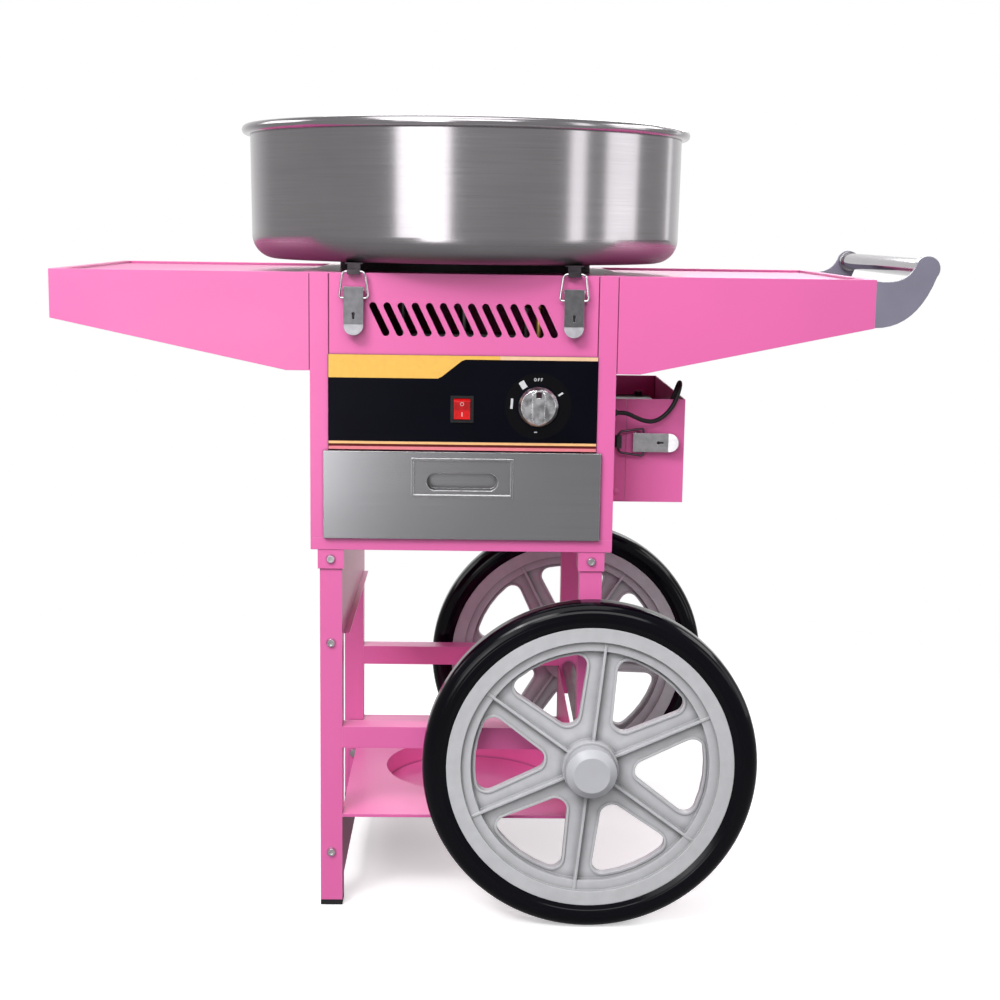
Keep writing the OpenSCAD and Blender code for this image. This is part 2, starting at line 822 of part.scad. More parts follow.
module top_plate() {
    low = top_z - flange_depth + side_gap;
    color(pink) cart_frame() difference() {
        block([sheet - half_w, sheet - half_d, low], [half_w - sheet, half_d - sheet, top_z]);
        block([2 * sheet - half_w, 2 * sheet - half_d, low - cut], [half_w - 2 * sheet, half_d - 2 * sheet, top_z - sheet]);
        translate([0, 0, low]) cylinder(r = spindle_way, h = flange_depth + cut);
        translate([0, -jet_ring, low]) cylinder(r = pipe_radius + side_gap, h = flange_depth + cut);
    }
}
module control_fascia() {
    color(black) cart_frame() difference() {
        block([side_gap - inner_w, fascia_y, fascia_z], [inner_w - side_gap, -half_d, fascia_z + fascia_height]);
        control_holes(sheet * 4);
    }
}

// Power switch
module switch_bezel() {
    inner_half_w = bezel_body_width / 2 - bezel_wall;
    inner_half_h = rocker_radius + side_gap;
    color(black) cart_frame() translate([switch_x, fascia_y, switch_z]) difference() {
        union() {
            block([-bezel_width / 2, -bezel_thick, -bezel_height / 2], [bezel_width / 2, 0, bezel_height / 2]);
            block([-bezel_body_width / 2, -bezel_thick, -bezel_body_height / 2],
                [bezel_body_width / 2, bezel_depth, bezel_body_height / 2]);
        }
        block([-inner_half_w, -bezel_thick - cut, -inner_half_h], [inner_half_w, bezel_depth - bezel_back, inner_half_h]);
        translate([0, rocker_pivot_depth, 0]) along_x(rocker_pin + run_gap, bezel_body_width + cut);
    }
}
module power_rocker() {
    half = bezel_body_width / 2 - bezel_wall - side_gap;
    color(red) cart_frame() translate([switch_x, fascia_y + rocker_pivot_depth, switch_z]) rotate([rocker_tilt, 0, 0]) {
        rotate([90, 0, 90]) linear_extrude(half * 2, center = true) intersection() {
            circle(r = rocker_radius);
            polygon([[-rocker_face, rocker_radius], [-rocker_dip, 0], [-rocker_face, -rocker_radius],
                [rocker_rear, -rocker_radius], [rocker_rear, rocker_radius]]);
        }
        along_x(rocker_pin, bezel_body_width - side_gap);
    }
}

// Gas control and supply
module gas_knob() {
    knob_y = fascia_y - side_gap;
    grip = knob_radius * grip_width_share;
    tall = knob_skirt + knob_grip;
    color(bright) cart_frame() translate([knob_x, knob_y, control_z]) difference() {
        union() {
            rotate([90, 0, 0]) {
                cylinder(r = knob_radius, h = knob_skirt / 2);
                translate([0, 0, knob_skirt / 2]) cylinder(r1 = knob_radius, r2 = knob_radius * knob_face_share, h = knob_skirt / 2);
                linear_extrude(tall) rotate(90) stadium(knob_radius * grip_length_share, grip);
            }
            translate([0, -slip, 0]) along_y(stem_radius, sheet - half_d + stem_reach - knob_y + slip);
        }
        block([-notch_width / 2, -tall - cut, knob_radius * notch_share], [notch_width / 2, notch_depth - tall, knob_radius]);
    }
}
module gas_valve() {
    back = sheet - half_d;
    color(brass) cart_frame() difference() {
        union() {
            translate([knob_x, back, control_z]) along_y(valve_radius, valve_length);
            translate([knob_x, back + valve_length - cut, control_z]) along_y(port_radius, port_length + cut);
            translate([knob_x, back + valve_length / 2, control_z]) cylinder(r = port_radius, h = valve_radius + port_length);
        }
        translate([knob_x, back - cut, control_z]) along_y(stem_radius + run_gap, valve_length * valve_bore_share);
    }
}
module gas_pipe() {
    start = [knob_x, sheet - half_d + valve_length / 2, control_z + valve_radius + port_length];
    corner = [start[0], start[1], control_z + pipe_level];
    level = [0, -jet_ring, corner[2]];
    run = [level[0] - corner[0], level[1] - corner[1]];
    color(brass) cart_frame() {
        translate(start) cylinder(r = pipe_radius, h = corner[2] - start[2]);
        translate(corner) sphere(r = pipe_radius * elbow_share);
        translate(corner) rotate([0, 90, atan2(run[1], run[0])]) cylinder(r = pipe_radius, h = norm(run));
        translate(level) sphere(r = pipe_radius * elbow_share);
        translate(level) cylinder(r = pipe_radius, h = top_z + burner_stand - level[2]);
    }
}
module gas_inlet() {
    start = sheet - half_d + valve_length + port_length;
    wall = half_d + sheet;
    pitch = inlet_tail / (barb_count + 1);
    color(brass) cart_frame() translate([knob_x, 0, control_z]) {
        translate([0, start, 0]) along_y(inlet_radius, wall + inlet_collar_length + inlet_tail - start);
        translate([0, wall, 0]) rotate([-90, 0, 0]) cylinder(r = inlet_collar, h = inlet_collar_length, $fn = 6);
        for (i = [1:barb_count]) translate([0, wall + inlet_collar_length + i * pitch, 0]) rotate([-90, 0, 0])
            cylinder(r1 = inlet_radius + barb_rise, r2 = inlet_radius, h = pitch);
    }
}
module burner_ring() {
    low = top_z + burner_stand;
    color(brass) cart_frame() difference() {
        union() {
            translate([0, 0, low]) difference() {
                cylinder(r = burner_outer, h = burner_height);
                translate([0, 0, -cut]) cylinder(r = burner_inner, h = burner_height + 2 * cut);
            }
            for (i = [0:2]) rotate(120 * i + 90) translate([burner_leg_ring, 0, top_z])
                cylinder(r = burner_leg, h = burner_stand + burner_height / 2);
        }
        for (i = [0:burner_jets - 1]) rotate(360 * i / burner_jets)
            translate([jet_ring, 0, low + burner_height - jet_depth]) cylinder(r = jet_radius, h = jet_depth + cut);
    }
}

// Drawer
module drawer_front() {
    low = lip_z + side_gap * 2;
    face = -half_d - side_gap - drawer_edge;
    color(steel) cart_frame() difference() {
        block([-drawer_width / 2, face, low], [drawer_width / 2, face + drawer_edge, low + drawer_height]);
        block([sheet - drawer_width / 2, face + sheet, low + sheet],
            [drawer_width / 2 - sheet, face + drawer_edge + cut, low + drawer_height - sheet]);
        translate([0, face, lip_z + pull_lift]) pull_prism(pull_wall + side_gap, drawer_edge);
    }
}
module pull_prism(grow, depth) {
    rotate([90, 0, 0]) linear_extrude(depth * 2, center = true)
        stadium(pull_slot_width + 2 * grow, pull_slot_height + 2 * grow);
}
module drawer_box() {
    low = lip_z + drawer_lift;
    front = -half_d - side_gap - drawer_edge + sheet;
    color(steel) cart_frame() difference() {
        block([-drawer_half, front, low], [drawer_half, front + drawer_box_depth, low + drawer_box_height]);
        block([sheet - drawer_half, front + sheet, low + sheet],
            [drawer_half - sheet, front + drawer_box_depth - sheet, low + drawer_box_height + cut]);
        translate([0, front, lip_z + pull_lift]) pull_prism(pull_wall + side_gap, sheet * 2);
    }
}
module drawer_pull() {
    face = -half_d - side_gap - drawer_edge;
    low = pull_slot_drop - pull_height / 2;
    color(bright) cart_frame() translate([0, face, lip_z + pull_lift]) difference() {
        union() {
            block([-pull_width / 2, -pull_plate - pull_border_height, low], [pull_width / 2, 0, low + pull_height]);
            translate([0, pull_slot_depth, 0]) rotate([90, 0, 0]) linear_extrude(pull_slot_depth + pull_plate / 2)
                stadium(pull_slot_width + 2 * pull_wall, pull_slot_height + 2 * pull_wall);
        }
        block([pull_border - pull_width / 2, -pull_plate - pull_border_height - cut, low + pull_border],
            [pull_width / 2 - pull_border, -pull_plate, low + pull_height - pull_border]);
        translate([0, pull_slot_depth - pull_wall, 0]) rotate([90, 0, 0])
            linear_extrude(pull_slot_depth * 2) stadium(pull_slot_width, pull_slot_height);
    }
}
module drawer_runners() {
    ledge = lip_z + drawer_lift - side_gap;
    guide = half_w - sheet - runner_width;
    front = flange_depth - half_d + cut;
    back = half_d - sheet - runner_end;
    color(steel) cart_frame() both_sides() {
        block([half_w - 2 * sheet, front, ledge - sheet], [half_w - sheet, back, ledge + runner_height]);
        block([guide - runner_lap, front, ledge - sheet], [half_w - sheet, back, ledge]);
        block([guide, front, ledge - sheet], [guide + sheet, back, ledge + runner_guide]);
    }
}

// Bowl
module bowl_seat() {
    color(black) cart_frame() translate([0, 0, top_z]) difference() {
        cylinder(r = seat_radius, h = seat_height, $fn = 128);
        translate([0, 0, -cut]) cylinder(r = seat_radius - seat_height, h = seat_height + 2 * cut, $fn = 128);
    }
}
module bowl() {
    low = bowl_floor_radius + bowl_corner;
    bead_z = bowl_height - bead_radius;
    color(steel) cart_frame() translate([0, 0, bowl_z]) rotate_extrude($fn = 128) {
        translate([bowl_hole_radius, 0]) square([bowl_floor_radius - bowl_hole_radius, bowl_wall]);
        translate([bowl_hole_radius, 0]) square([bowl_wall, bowl_corner / 2]);
        translate([bowl_floor_radius, bowl_corner]) intersection() {
            difference() {
                circle(r = bowl_corner);
                circle(r = bowl_corner - bowl_wall);
            }
            translate([0, -bowl_corner]) square(bowl_corner);
        }
        polygon([[low - bowl_wall, bowl_corner], [low, bowl_corner], [low + bowl_flare, bead_z],
            [low + bowl_flare - bowl_wall, bead_z]]);
        translate([low + bowl_flare + bead_radius * bead_out_share, bead_z]) circle(r = bead_radius);
    }
}

// Toggle latches: the pivot is the origin, +Z runs to the hook and -Y points out from the surface
module at_left_latch() {
    cart_frame() translate([-latch_spread, -half_d - pivot_out, top_z - latch_drop]) children();
}
module at_right_latch() {
    cart_frame() translate([latch_spread, -half_d - pivot_out, top_z - latch_drop]) children();
}
module at_box_latch() {
    cart_frame() translate([half_w + box_latch_out, box_setback - half_d - pivot_out,
        body_floor + box_rise + box_height * box_latch_share]) rotate([0, -90, 0]) children();
}
module latch_base() {
    block([-base_half, pivot_out - lever_thick, -base_length], [base_half, pivot_out, ear_radius]);
    for (x = [-ear_inner - ear_thick, ear_inner]) translate([x, 0, 0]) {
        rotate([0, 90, 0]) cylinder(r = ear_radius, h = ear_thick);
        block([0, 0, -ear_radius], [ear_thick, pivot_out, ear_radius]);
    }
    along_x(pivot_pin, lever_width - slip);
}
module latch_lever() {
    half = lever_width / 2;
    tab = lever_length - tab_length;
    difference() {
        union() {
            block([-half, -lever_stand - lever_thick, -tab], [half, -lever_stand, lever_top]);
            translate([0, -lever_stand - lever_thick / 2, -tab]) rotate([-tab_bend, 0, 0]) rotate([90, 0, 0])
                linear_extrude(lever_thick, center = true) intersection() {
                    translate([0, half - tab_length]) circle(r = half);
                    translate([-half, -tab_length]) square([lever_width, tab_length]);
                }
            both_sides() block([half - lever_thick, -lever_stand - lever_thick / 2, -lever_skirt],
                [half, lever_stand, lever_top]);
            along_x(barrel_radius, barrel_half * 2);
        }
        along_x(pivot_pin + run_gap, lever_width + cut);
        translate([0, 0, -bail_drop]) along_x(bail_wire + run_gap, lever_width + cut);
        translate([0, -lever_stand - lever_thick - cut, -keyhole_drop]) along_y(keyhole_radius, lever_thick + 2 * cut);
        block([-keyhole_slot, -lever_stand - lever_thick - cut, -keyhole_drop - keyhole_length],
            [keyhole_slot, cut - lever_stand, -keyhole_drop]);
    }
}
// Bent wire loop: pins through the lever's flanges, two leaning legs and a crossbar under the hook
module latch_bail() {
    lean = atan2(bail_low_half - bail_high_half, bail_reach + bail_drop);
    low_end = [bail_low_half - bail_bend * tan(45 + lean / 2), bail_bend - bail_drop];
    high_end = [bail_high_half - bail_top_bend * tan(45 - lean / 2), bail_reach - bail_top_bend];
    side = concat([[bail_pin_inner, -bail_drop]], arc(low_end, bail_bend, -90, 90 + lean, bail_steps),
        arc(high_end, bail_top_bend, lean, 90 - lean, bail_steps));
    count = len(side);
    swept_tube(concat([for (p = side) [p[0], 0, p[1]]], [for (i = [count - 1:-1:0]) [-side[i][0], 0, side[i][1]]]),
        bail_wire, bail_sides);
}
// Hook that the bail pulls on: a lip, a ledge and a web that reaches up
module catch_hook(web, reach) {
    ledge = bail_reach - bail_wire - side_gap;
    lip = -bail_wire - catch_gap;
    block([-catch_half, lip - catch_thick, ledge - catch_thick], [catch_half, web + catch_thick, ledge]);
    block([-catch_half, lip - catch_thick, ledge - catch_thick], [catch_half, lip, ledge + catch_lip_rise]);
    block([-catch_half, web, ledge - catch_thick], [catch_half, web + catch_thick, reach]);
}
module latch_bases() {
    color(steel) {
        at_left_latch() latch_base();
        at_right_latch() latch_base();
        at_box_latch() latch_base();
    }
}
module bowl_catch() {
    under = latch_drop + seat_height;
    web = pivot_out - catch_web_out;
    catch_hook(web, under);
    block([-catch_foot_half, web, under - catch_thick],
        [catch_foot_half, max(half_d + pivot_out - catch_foot_end, web + catch_foot_least), under]);
}
module latch_catches() {
    color(handle_grey) {
        at_left_latch() bowl_catch();
        at_right_latch() bowl_catch();
        at_box_latch() catch_hook(pivot_out - catch_thick, bail_reach + catch_lip_rise);
    }
}
module left_latch_lever() {
    color(bright) at_left_latch() latch_lever();
}
module left_latch_bail() {
    color(bright) at_left_latch() latch_bail();
}
module right_latch_lever() {
    color(bright) at_right_latch() latch_lever();
}
module right_latch_bail() {
    color(bright) at_right_latch() latch_bail();
}
module box_latch_lever() {
    color(bright) at_box_latch() latch_lever();
}
module box_latch_bail() {
    color(bright) at_box_latch() latch_bail();
}

// Drive under the bowl
module bearing_housing() {
    under = top_z - sheet;
    color(aluminium) cart_frame() difference() {
        union() {
            translate([0, 0, under - housing_flange_thick]) cylinder(r = housing_flange, h = housing_flange_thick);
            translate([0, 0, under - housing_length]) cylinder(r = housing_radius, h = housing_length);
        }
        translate([0, 0, under - housing_length - cut]) cylinder(r = spindle_radius + run_gap, h = housing_length + 2 * cut);
    }
}
module motor_bracket() {
    under = top_z - sheet;
    deck = under - bracket_drop;
    half = bracket_width / 2;
    color(steel) cart_frame() difference() {
        union() {
            block([-bracket_half - bracket_thick, -half, deck], [bracket_half + bracket_thick, half, deck + bracket_thick]);
            both_sides() {
                block([bracket_half, -half, deck], [bracket_half + bracket_thick, half, under]);
                block([bracket_half, -half, under - bracket_thick],
                    [bracket_half + bracket_thick + bracket_foot, half, under]);
            }
        }
        translate([0, 0, deck - cut]) cylinder(r = boss_radius + slip, h = bracket_thick + 2 * cut);
    }
}
module drive_motor() {
    deck = top_z - sheet - bracket_drop;
    color(steel) cart_frame() difference() {
        union() {
            translate([0, 0, deck - motor_length]) cylinder(r = motor_radius, h = motor_length);
            translate([0, 0, deck - cut]) cylinder(r = boss_radius, h = boss_height + cut);
        }
        translate([0, 0, deck - spindle_depth]) cylinder(r = spindle_radius + run_gap, h = spindle_depth + boss_height + cut);
    }
}
module spindle() {
    foot = top_z - sheet - bracket_drop - spindle_depth + side_gap;
    nut_z = spinner_z + head_hub_height - head_hub_drop;
    color(bright) cart_frame() {
        translate([0, 0, foot]) cylinder(r = spindle_radius, h = nut_z + spindle_nut_height + spindle_tail - foot);
        translate([0, 0, nut_z]) cylinder(r = spindle_nut, h = spindle_nut_height, $fn = 6);
    }
}
module spinner_head() {
    color(aluminium) cart_frame() translate([0, 0, spinner_z]) rotate_extrude($fn = 96) {
        bore = spindle_radius + run_gap;
        translate([bore, 0]) square([spinner_radius - bore, head_floor]);
        translate([bore, -head_hub_drop]) square([head_hub - bore, head_hub_height]);
        translate([spinner_radius - head_rim, 0]) square([head_rim, head_rim_height]);
    }
}
module spinner_band() {
    inner = spinner_radius - band_thick;
    color(steel) cart_frame() translate([0, 0, spinner_z + head_rim_height]) difference() {
        cylinder(r = spinner_radius, h = band_height, $fn = 96);
        translate([0, 0, -cut]) cylinder(r = inner, h = band_height + 2 * cut, $fn = 96);
        for (i = [0:band_slots - 1]) rotate(360 * i / band_slots)
            block([inner - cut, -band_slot_width / 2, band_slot_edge],
                [spinner_radius + cut, band_slot_width / 2, band_height - band_slot_edge]);
    }
}
module spinner_lid() {
    color(aluminium) cart_frame() translate([0, 0, spinner_z + head_rim_height + band_height])
        rotate_extrude($fn = 96) polygon([[spinner_radius - band_thick, 0], [spinner_radius, 0],
            [spinner_radius, lid_wall], [lid_mouth + lid_wall, lid_rise], [lid_mouth + lid_wall, lid_rise + lid_lip],
            [lid_mouth, lid_rise + lid_lip], [lid_mouth, lid_rise - lid_wall], [spinner_radius - band_thick, lid_wall / 2]]);
}

// Side trays and handle
module tray_outline(skin) {
    slope = (tray_root - tray_end) / (tray_length - tray_level);
    rise = skin * sqrt(1 + slope * slope);
    top = skin > 0 ? tray_recess + skin : 0;
    start = skin > 0 ? half_w - cut : half_w;
    polygon([[start, top_z - top], [tray_x - skin, top_z - top], [tray_x - skin, top_z - tray_end + rise - skin * slope],
        [half_w + tray_level, top_z - tray_root + rise], [start, top_z - tray_root + rise]]);
}
module tray() {
    difference() {
        translate([0, half_d, 0]) rotate([90, 0, 0]) linear_extrude(body_depth) tray_outline(0);
        translate([0, half_d - sheet, 0]) rotate([90, 0, 0]) linear_extrude(body_depth - 2 * sheet) tray_outline(sheet);
        block([half_w + tray_rim, tray_rim - half_d, top_z - tray_recess], [tray_x - tray_rim, half_d - tray_rim, top_z + cut]);
    }
}
module right_tray() {
    color(pink) cart_frame() tray();
}
module left_tray() {
    color(pink) cart_frame() mirror([1, 0, 0]) tray();
}
module handle_outline() {
    low = [tray_x, top_z - handle_root_low];
    high = [tray_x, top_z - handle_root_high];
    centre = [handle_x, handle_z];
    tip_low = arc(centre, handle_tip, handle_tip_from, 0, 1)[0];
    tip_high = arc(centre, handle_tip, handle_tip_from + handle_tip_turn, 0, 1)[0];
    low_pull = [tray_x + handle_reach * handle_low_pull_share, low[1]];
    high_pull = [tray_x + handle_reach * handle_high_pull_share, high[1] - handle_reach * handle_high_drop_share];
    round_tip = arc(centre, handle_tip, handle_tip_from, handle_tip_turn, 14);
    polygon(concat(bend(low, low_pull, tip_low, 10), [for (i = [1:13]) round_tip[i]],
        bend(tip_high, high_pull, high, 10)));
}
module handle_plates() {
    color(handle_grey) cart_frame() front_and_back() {
        translate([0, handle_thick - half_d, 0]) rotate([90, 0, 0]) linear_extrude(handle_thick) handle_outline();
        block([tray_x, -half_d, top_z - handle_root_low + handle_flange_inset],
            [tray_x + handle_thick / 2, handle_flange - half_d, top_z - handle_root_high - handle_flange_inset]);
    }
}
module handle_tube() {
    half = half_d - handle_thick;
    color(bright) cart_frame() translate([handle_x, -half, handle_z]) difference() {
        union() {
            along_y(handle_radius, half * 2);
            along_y(collar_radius, collar_length);
            translate([0, half * 2 - collar_length, 0]) along_y(collar_radius, collar_length);
        }
        translate([0, -cut, 0]) along_y(handle_radius - handle_wall, half * 2 + 2 * cut);
    }
}

// Side box, battery and lead
module side_box() {
    low = body_floor + box_rise;
    front = box_setback - half_d;
    right = half_w + box_width;
    color(pink) cart_frame() difference() {
        block([half_w, front, low], [right, front + box_depth, low + box_height]);
        block([half_w - cut, front + sheet, low + sheet], [right - sheet, front + box_depth - sheet, low + box_height + cut]);
        block([half_w - cut, front - cut, low + sheet], [half_w + strip_out + side_gap, front + 2 * sheet, low + box_height + cut]);
    }
}
module box_strip() {
    low = body_floor + box_rise + sheet + side_gap;
    high = body_floor + box_rise + box_height;
    front = box_setback - half_d;
    color(pink) cart_frame() {
        block([half_w, front, low], [half_w + strip_out, front + sheet, high]);
        block([half_w, front, low], [half_w + sheet, front + strip_leg, high]);
        translate([half_w + strip_out / 2, front, low + strip_out / 2]) rotate([90, 0, 0])
            cylinder(r1 = screw_head, r2 = screw_head / 2, h = screw_head_height / 2);
    }
}
module battery() {
    low = body_floor + box_rise + sheet;
    back = box_setback - half_d + box_depth - sheet - battery_gap;
    middle = half_w + (box_width - sheet) / 2;
    color(black) cart_frame() {
        block([middle - battery_width / 2, back - battery_depth, low], [middle + battery_width / 2, back, low + battery_height]);
        for (x = [-1, 1]) translate([middle + x * (battery_width / 2 - terminal_inset), back - terminal_inset, low + battery_height])
            cylinder(r = terminal_radius, h = terminal_height);
    }
}
module cord_gland() {
    tip = gland_reach;
    color(black) cart_frame() translate([half_w, gland_y, gland_z]) rotate([0, 90, 0]) {
        cylinder(r = gland_flange, h = gland_flange_thick);
        translate([0, 0, gland_flange_thick]) cylinder(r1 = gland_thread, r2 = gland_tip, h = tip - gland_flange_thick);
        translate([0, 0, -sheet - slip]) cylinder(r = gland_thread, h = sheet + 2 * slip);
        translate([0, 0, -sheet - gland_inside]) cylinder(r = gland_flange, h = gland_inside, $fn = 6);
    }
}
function unit(v) = v / norm(v);
function spline(p, i, t) = let (a = p[max(i - 1, 0)], b = p[i], c = p[i + 1], d = p[min(i + 2, len(p) - 1)])
    0.5 * (2 * b + (c - a) * t + (2 * a - 5 * b + 4 * c - d) * t * t + (3 * b - a - 3 * c + d) * t * t * t);
function smooth(p, steps) =
    concat([for (i = [0:len(p) - 2], s = [0:steps - 1]) spline(p, i, s / steps)], [p[len(p) - 1]]);
function course(p, i) = unit(p[min(i + 1, len(p) - 1)] - p[max(min(i, len(p) - 1) - 1, 0)]);
function square_to(n, t) = unit(n - (n * t) * t);
function carried(p, n) = [for (i = 0, side = square_to(n, course(p, 0)); i < len(p);
    i = i + 1, side = square_to(side, course(p, i))) side];
module swept_tube(points, radius, sides) {
    normals = carried(points, [0, 0, 1]);
    rings = [for (i = [0:len(points) - 1]) let (t = course(points, i), u = normals[i], v = cross(t, u))
        for (k = [0:sides - 1]) points[i] + radius * (u * cos(360 * k / sides) + v * sin(360 * k / sides))];
    last = (len(points) - 1) * sides;
    walls = [for (i = [0:len(points) - 2], k = [0:sides - 1]) let (a = i * sides + k, b = i * sides + (k + 1) % sides)
        each [[a, a + sides, b + sides], [a, b + sides, b]]];
    polyhedron(rings, concat(walls, [[for (k = [0:sides - 1]) k]], [[for (k = [sides - 1:-1:0]) last + k]]));
}
module battery_lead() {
    color(black) cart_frame() swept_tube(smooth(lead_route, lead_steps), lead_radius, lead_sides);
}

left_legs();
right_legs();
leg_sleeves();
cross_rails();
left_side_panel();
shelf();
foot_caps();
axle();
axle_fittings();
bolts_and_screws();
front_wheel();
front_tyre();
front_hub_cap();
rear_wheel();
rear_tyre();
rear_hub_cap();
base_pan();
body_shell();
front_panel();
rear_panel();
top_plate();
control_fascia();
switch_bezel();
power_rocker();
gas_knob();
gas_valve();
gas_pipe();
gas_inlet();
drawer_front();
drawer_box();
drawer_pull();
drawer_runners();
bowl_seat();
bowl();
latch_bases();
latch_catches();
left_latch_lever();
left_latch_bail();
right_latch_lever();
right_latch_bail();
box_latch_lever();
box_latch_bail();
burner_ring();
bearing_housing();
motor_bracket();
drive_motor();
spindle();
spinner_head();
spinner_band();
spinner_lid();
left_tray();
right_tray();
handle_plates();
handle_tube();
side_box();
box_strip();
battery();
cord_gland();
battery_lead();
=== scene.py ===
import bpy
import math
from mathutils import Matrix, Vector
from mathutils.bvhtree import BVHTree


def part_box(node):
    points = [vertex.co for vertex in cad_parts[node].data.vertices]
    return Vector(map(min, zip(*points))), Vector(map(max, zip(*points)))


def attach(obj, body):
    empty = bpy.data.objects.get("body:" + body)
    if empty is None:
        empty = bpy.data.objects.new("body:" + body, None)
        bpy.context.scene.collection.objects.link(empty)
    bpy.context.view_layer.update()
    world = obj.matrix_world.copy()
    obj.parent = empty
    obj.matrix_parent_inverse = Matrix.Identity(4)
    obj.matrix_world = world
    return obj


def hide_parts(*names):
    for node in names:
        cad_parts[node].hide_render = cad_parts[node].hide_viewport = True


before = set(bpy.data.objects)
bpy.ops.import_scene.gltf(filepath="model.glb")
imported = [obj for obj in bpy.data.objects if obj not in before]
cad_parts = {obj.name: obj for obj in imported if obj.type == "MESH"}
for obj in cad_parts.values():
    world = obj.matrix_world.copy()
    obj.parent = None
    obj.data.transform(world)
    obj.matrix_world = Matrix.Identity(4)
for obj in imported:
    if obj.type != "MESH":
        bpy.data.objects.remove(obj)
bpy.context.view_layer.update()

# Camera
# Stands two metres in front of the cart at the height of its bowl and looks down by nine degrees
# through a short telephoto lens.
telephoto = bpy.data.cameras.new("camera")
telephoto.lens = 60.02
telephoto.sensor_width = 36


def set_out(name, data):
    made = bpy.data.objects.new(name, data)
    bpy.context.scene.collection.objects.link(made)
    return made


camera = set_out("camera", telephoto)
camera.location = (-0.0258, -2.032, 0.78029)
camera.rotation_euler = [math.radians(turn) for turn in (80.639, -0.8288, -0.917)]
bpy.context.scene.camera = camera

# Battery lead
# A limp 5 mm lead in a matt black rubber sheath. It leaves the gland on the body's side, sags across the
# side box's front, loops over the edge and runs in to the battery's front face.
mm = 0.001
lead_radius = 0.0025
steps_between = 4
lead_route = [
    (140.5, -150, 572), (143.5, -150, 572), (146.5, -150, 572), (151, -149.8, 571.4), (156, -148.6, 569.6),
    (161.5, -146.6, 566.9), (168, -143.8, 564), (175, -140.6, 561.8), (182.5, -137.4, 561.3),
    (190.5, -134.4, 563.8), (198.5, -131.8, 569.6), (205.5, -129.6, 578), (210, -128, 587),
    (212.5, -127, 594.4), (214.2, -123.8, 600.2), (215, -118, 603.7), (215, -111, 603.7),
    (214.2, -105.2, 600.2), (212.5, -102, 594.2), (210, -100.4, 586.6), (206.5, -98.8, 577),
    (202, -95.6, 565), (196.5, -89, 553.4), (190.5, -79, 543.8), (184.5, -64, 536.6), (180.5, -45, 532.6),
    (178.3, -25, 531.2), (177.5, -5, 531), (177.5, 12.5, 531), (177.5, 30, 531)]
knots = [Vector(point) * mm for point in lead_route]
line = []
for i in range(len(knots) - 1):
    a, b, c, d = knots[max(i - 1, 0)], knots[i], knots[i + 1], knots[min(i + 2, len(knots) - 1)]
    for step in range(steps_between):
        t = step / steps_between
        line.append(0.5 * (2 * b + (c - a) * t + (2 * a - 5 * b + 4 * c - d) * t ** 2
                           + (3 * b - a - 3 * c + d) * t ** 3))
line.append(knots[-1])
lead_curve = bpy.data.curves.new("lead", "CURVE")
lead_curve.dimensions = "3D"
lead_curve.bevel_depth = 1  # times each point's radius
lead_curve.bevel_resolution = 5
run = lead_curve.splines.new("POLY")
run.points.add(len(line) - 1)
for point, spot in zip(run.points, line):
    point.co = (*spot, 1)
    point.radius = lead_radius
run.use_smooth = True
lead = set_out("lead", lead_curve)
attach(lead, "cart")
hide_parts("battery_lead")


def material(name):
    made = bpy.data.materials.new(name)
    made.use_nodes = True
    return made, made.node_tree


def group(name, inputs, outputs):
    tree = bpy.data.node_groups.new(name, "ShaderNodeTree")
    for label, kind, value in inputs:
        socket = tree.interface.new_socket(label, in_out="INPUT", socket_type="NodeSocket" + kind)
        socket.default_value = value
    for label, kind in outputs:
        tree.interface.new_socket(label, in_out="OUTPUT", socket_type="NodeSocket" + kind)
    return tree, tree.nodes.new("NodeGroupInput"), tree.nodes.new("NodeGroupOutput")


# The numbers given go to a node's inputs by place, and the settings by name.
def add(tree, kind, given=None, **settings):
    made = tree.nodes.new("ShaderNode" + kind)
    for place, value in (given or {}).items():
        made.inputs[place].default_value = value
    for key, value in settings.items():
        socket = key.replace("_", " ")
        if socket in made.inputs:
            made.inputs[socket].default_value = value
        else:
            setattr(made, key, value)
    return made


def placed(tree, shared, **values):
    made = tree.nodes.new("ShaderNodeGroup")
    made.node_tree = shared
    for key, value in values.items():
        made.inputs[key].default_value = value
    return made


def link(tree, *runs):
    for source, outlet, target, inlet in runs:
        tree.links.new(source.outputs[outlet], target.inputs[inlet])


# Slow drift: a colour that sinks by up to Depth in soft patches.
slow_drift, put, out = group(
    "slow_drift", [("Colour", "Color", (1, 1, 1, 1)), ("Scale", "Float", 6.0), ("Depth", "Float", 0.1)],
    [("Colour", "Color")])
where = add(slow_drift, "TexCoord")
patch = add(slow_drift, "TexNoise", Detail=3.0)
least = add(slow_drift, "Math", {0: 1}, operation="SUBTRACT")
sink = add(slow_drift, "MapRange", From_Min=0.35, From_Max=0.65)
tint = add(slow_drift, "MixRGB", blend_type="MULTIPLY", Fac=1.0)
link(slow_drift,
     (where, "Object", patch, "Vector"), (put, "Scale", patch, "Scale"), (put, "Depth", least, 1),
     (patch, "Fac", sink, "Value"), (least, 0, sink, "To Min"), (put, "Colour", tint, "Color1"),
     (sink, 0, tint, "Color2"), (tint, 0, out, "Colour"))

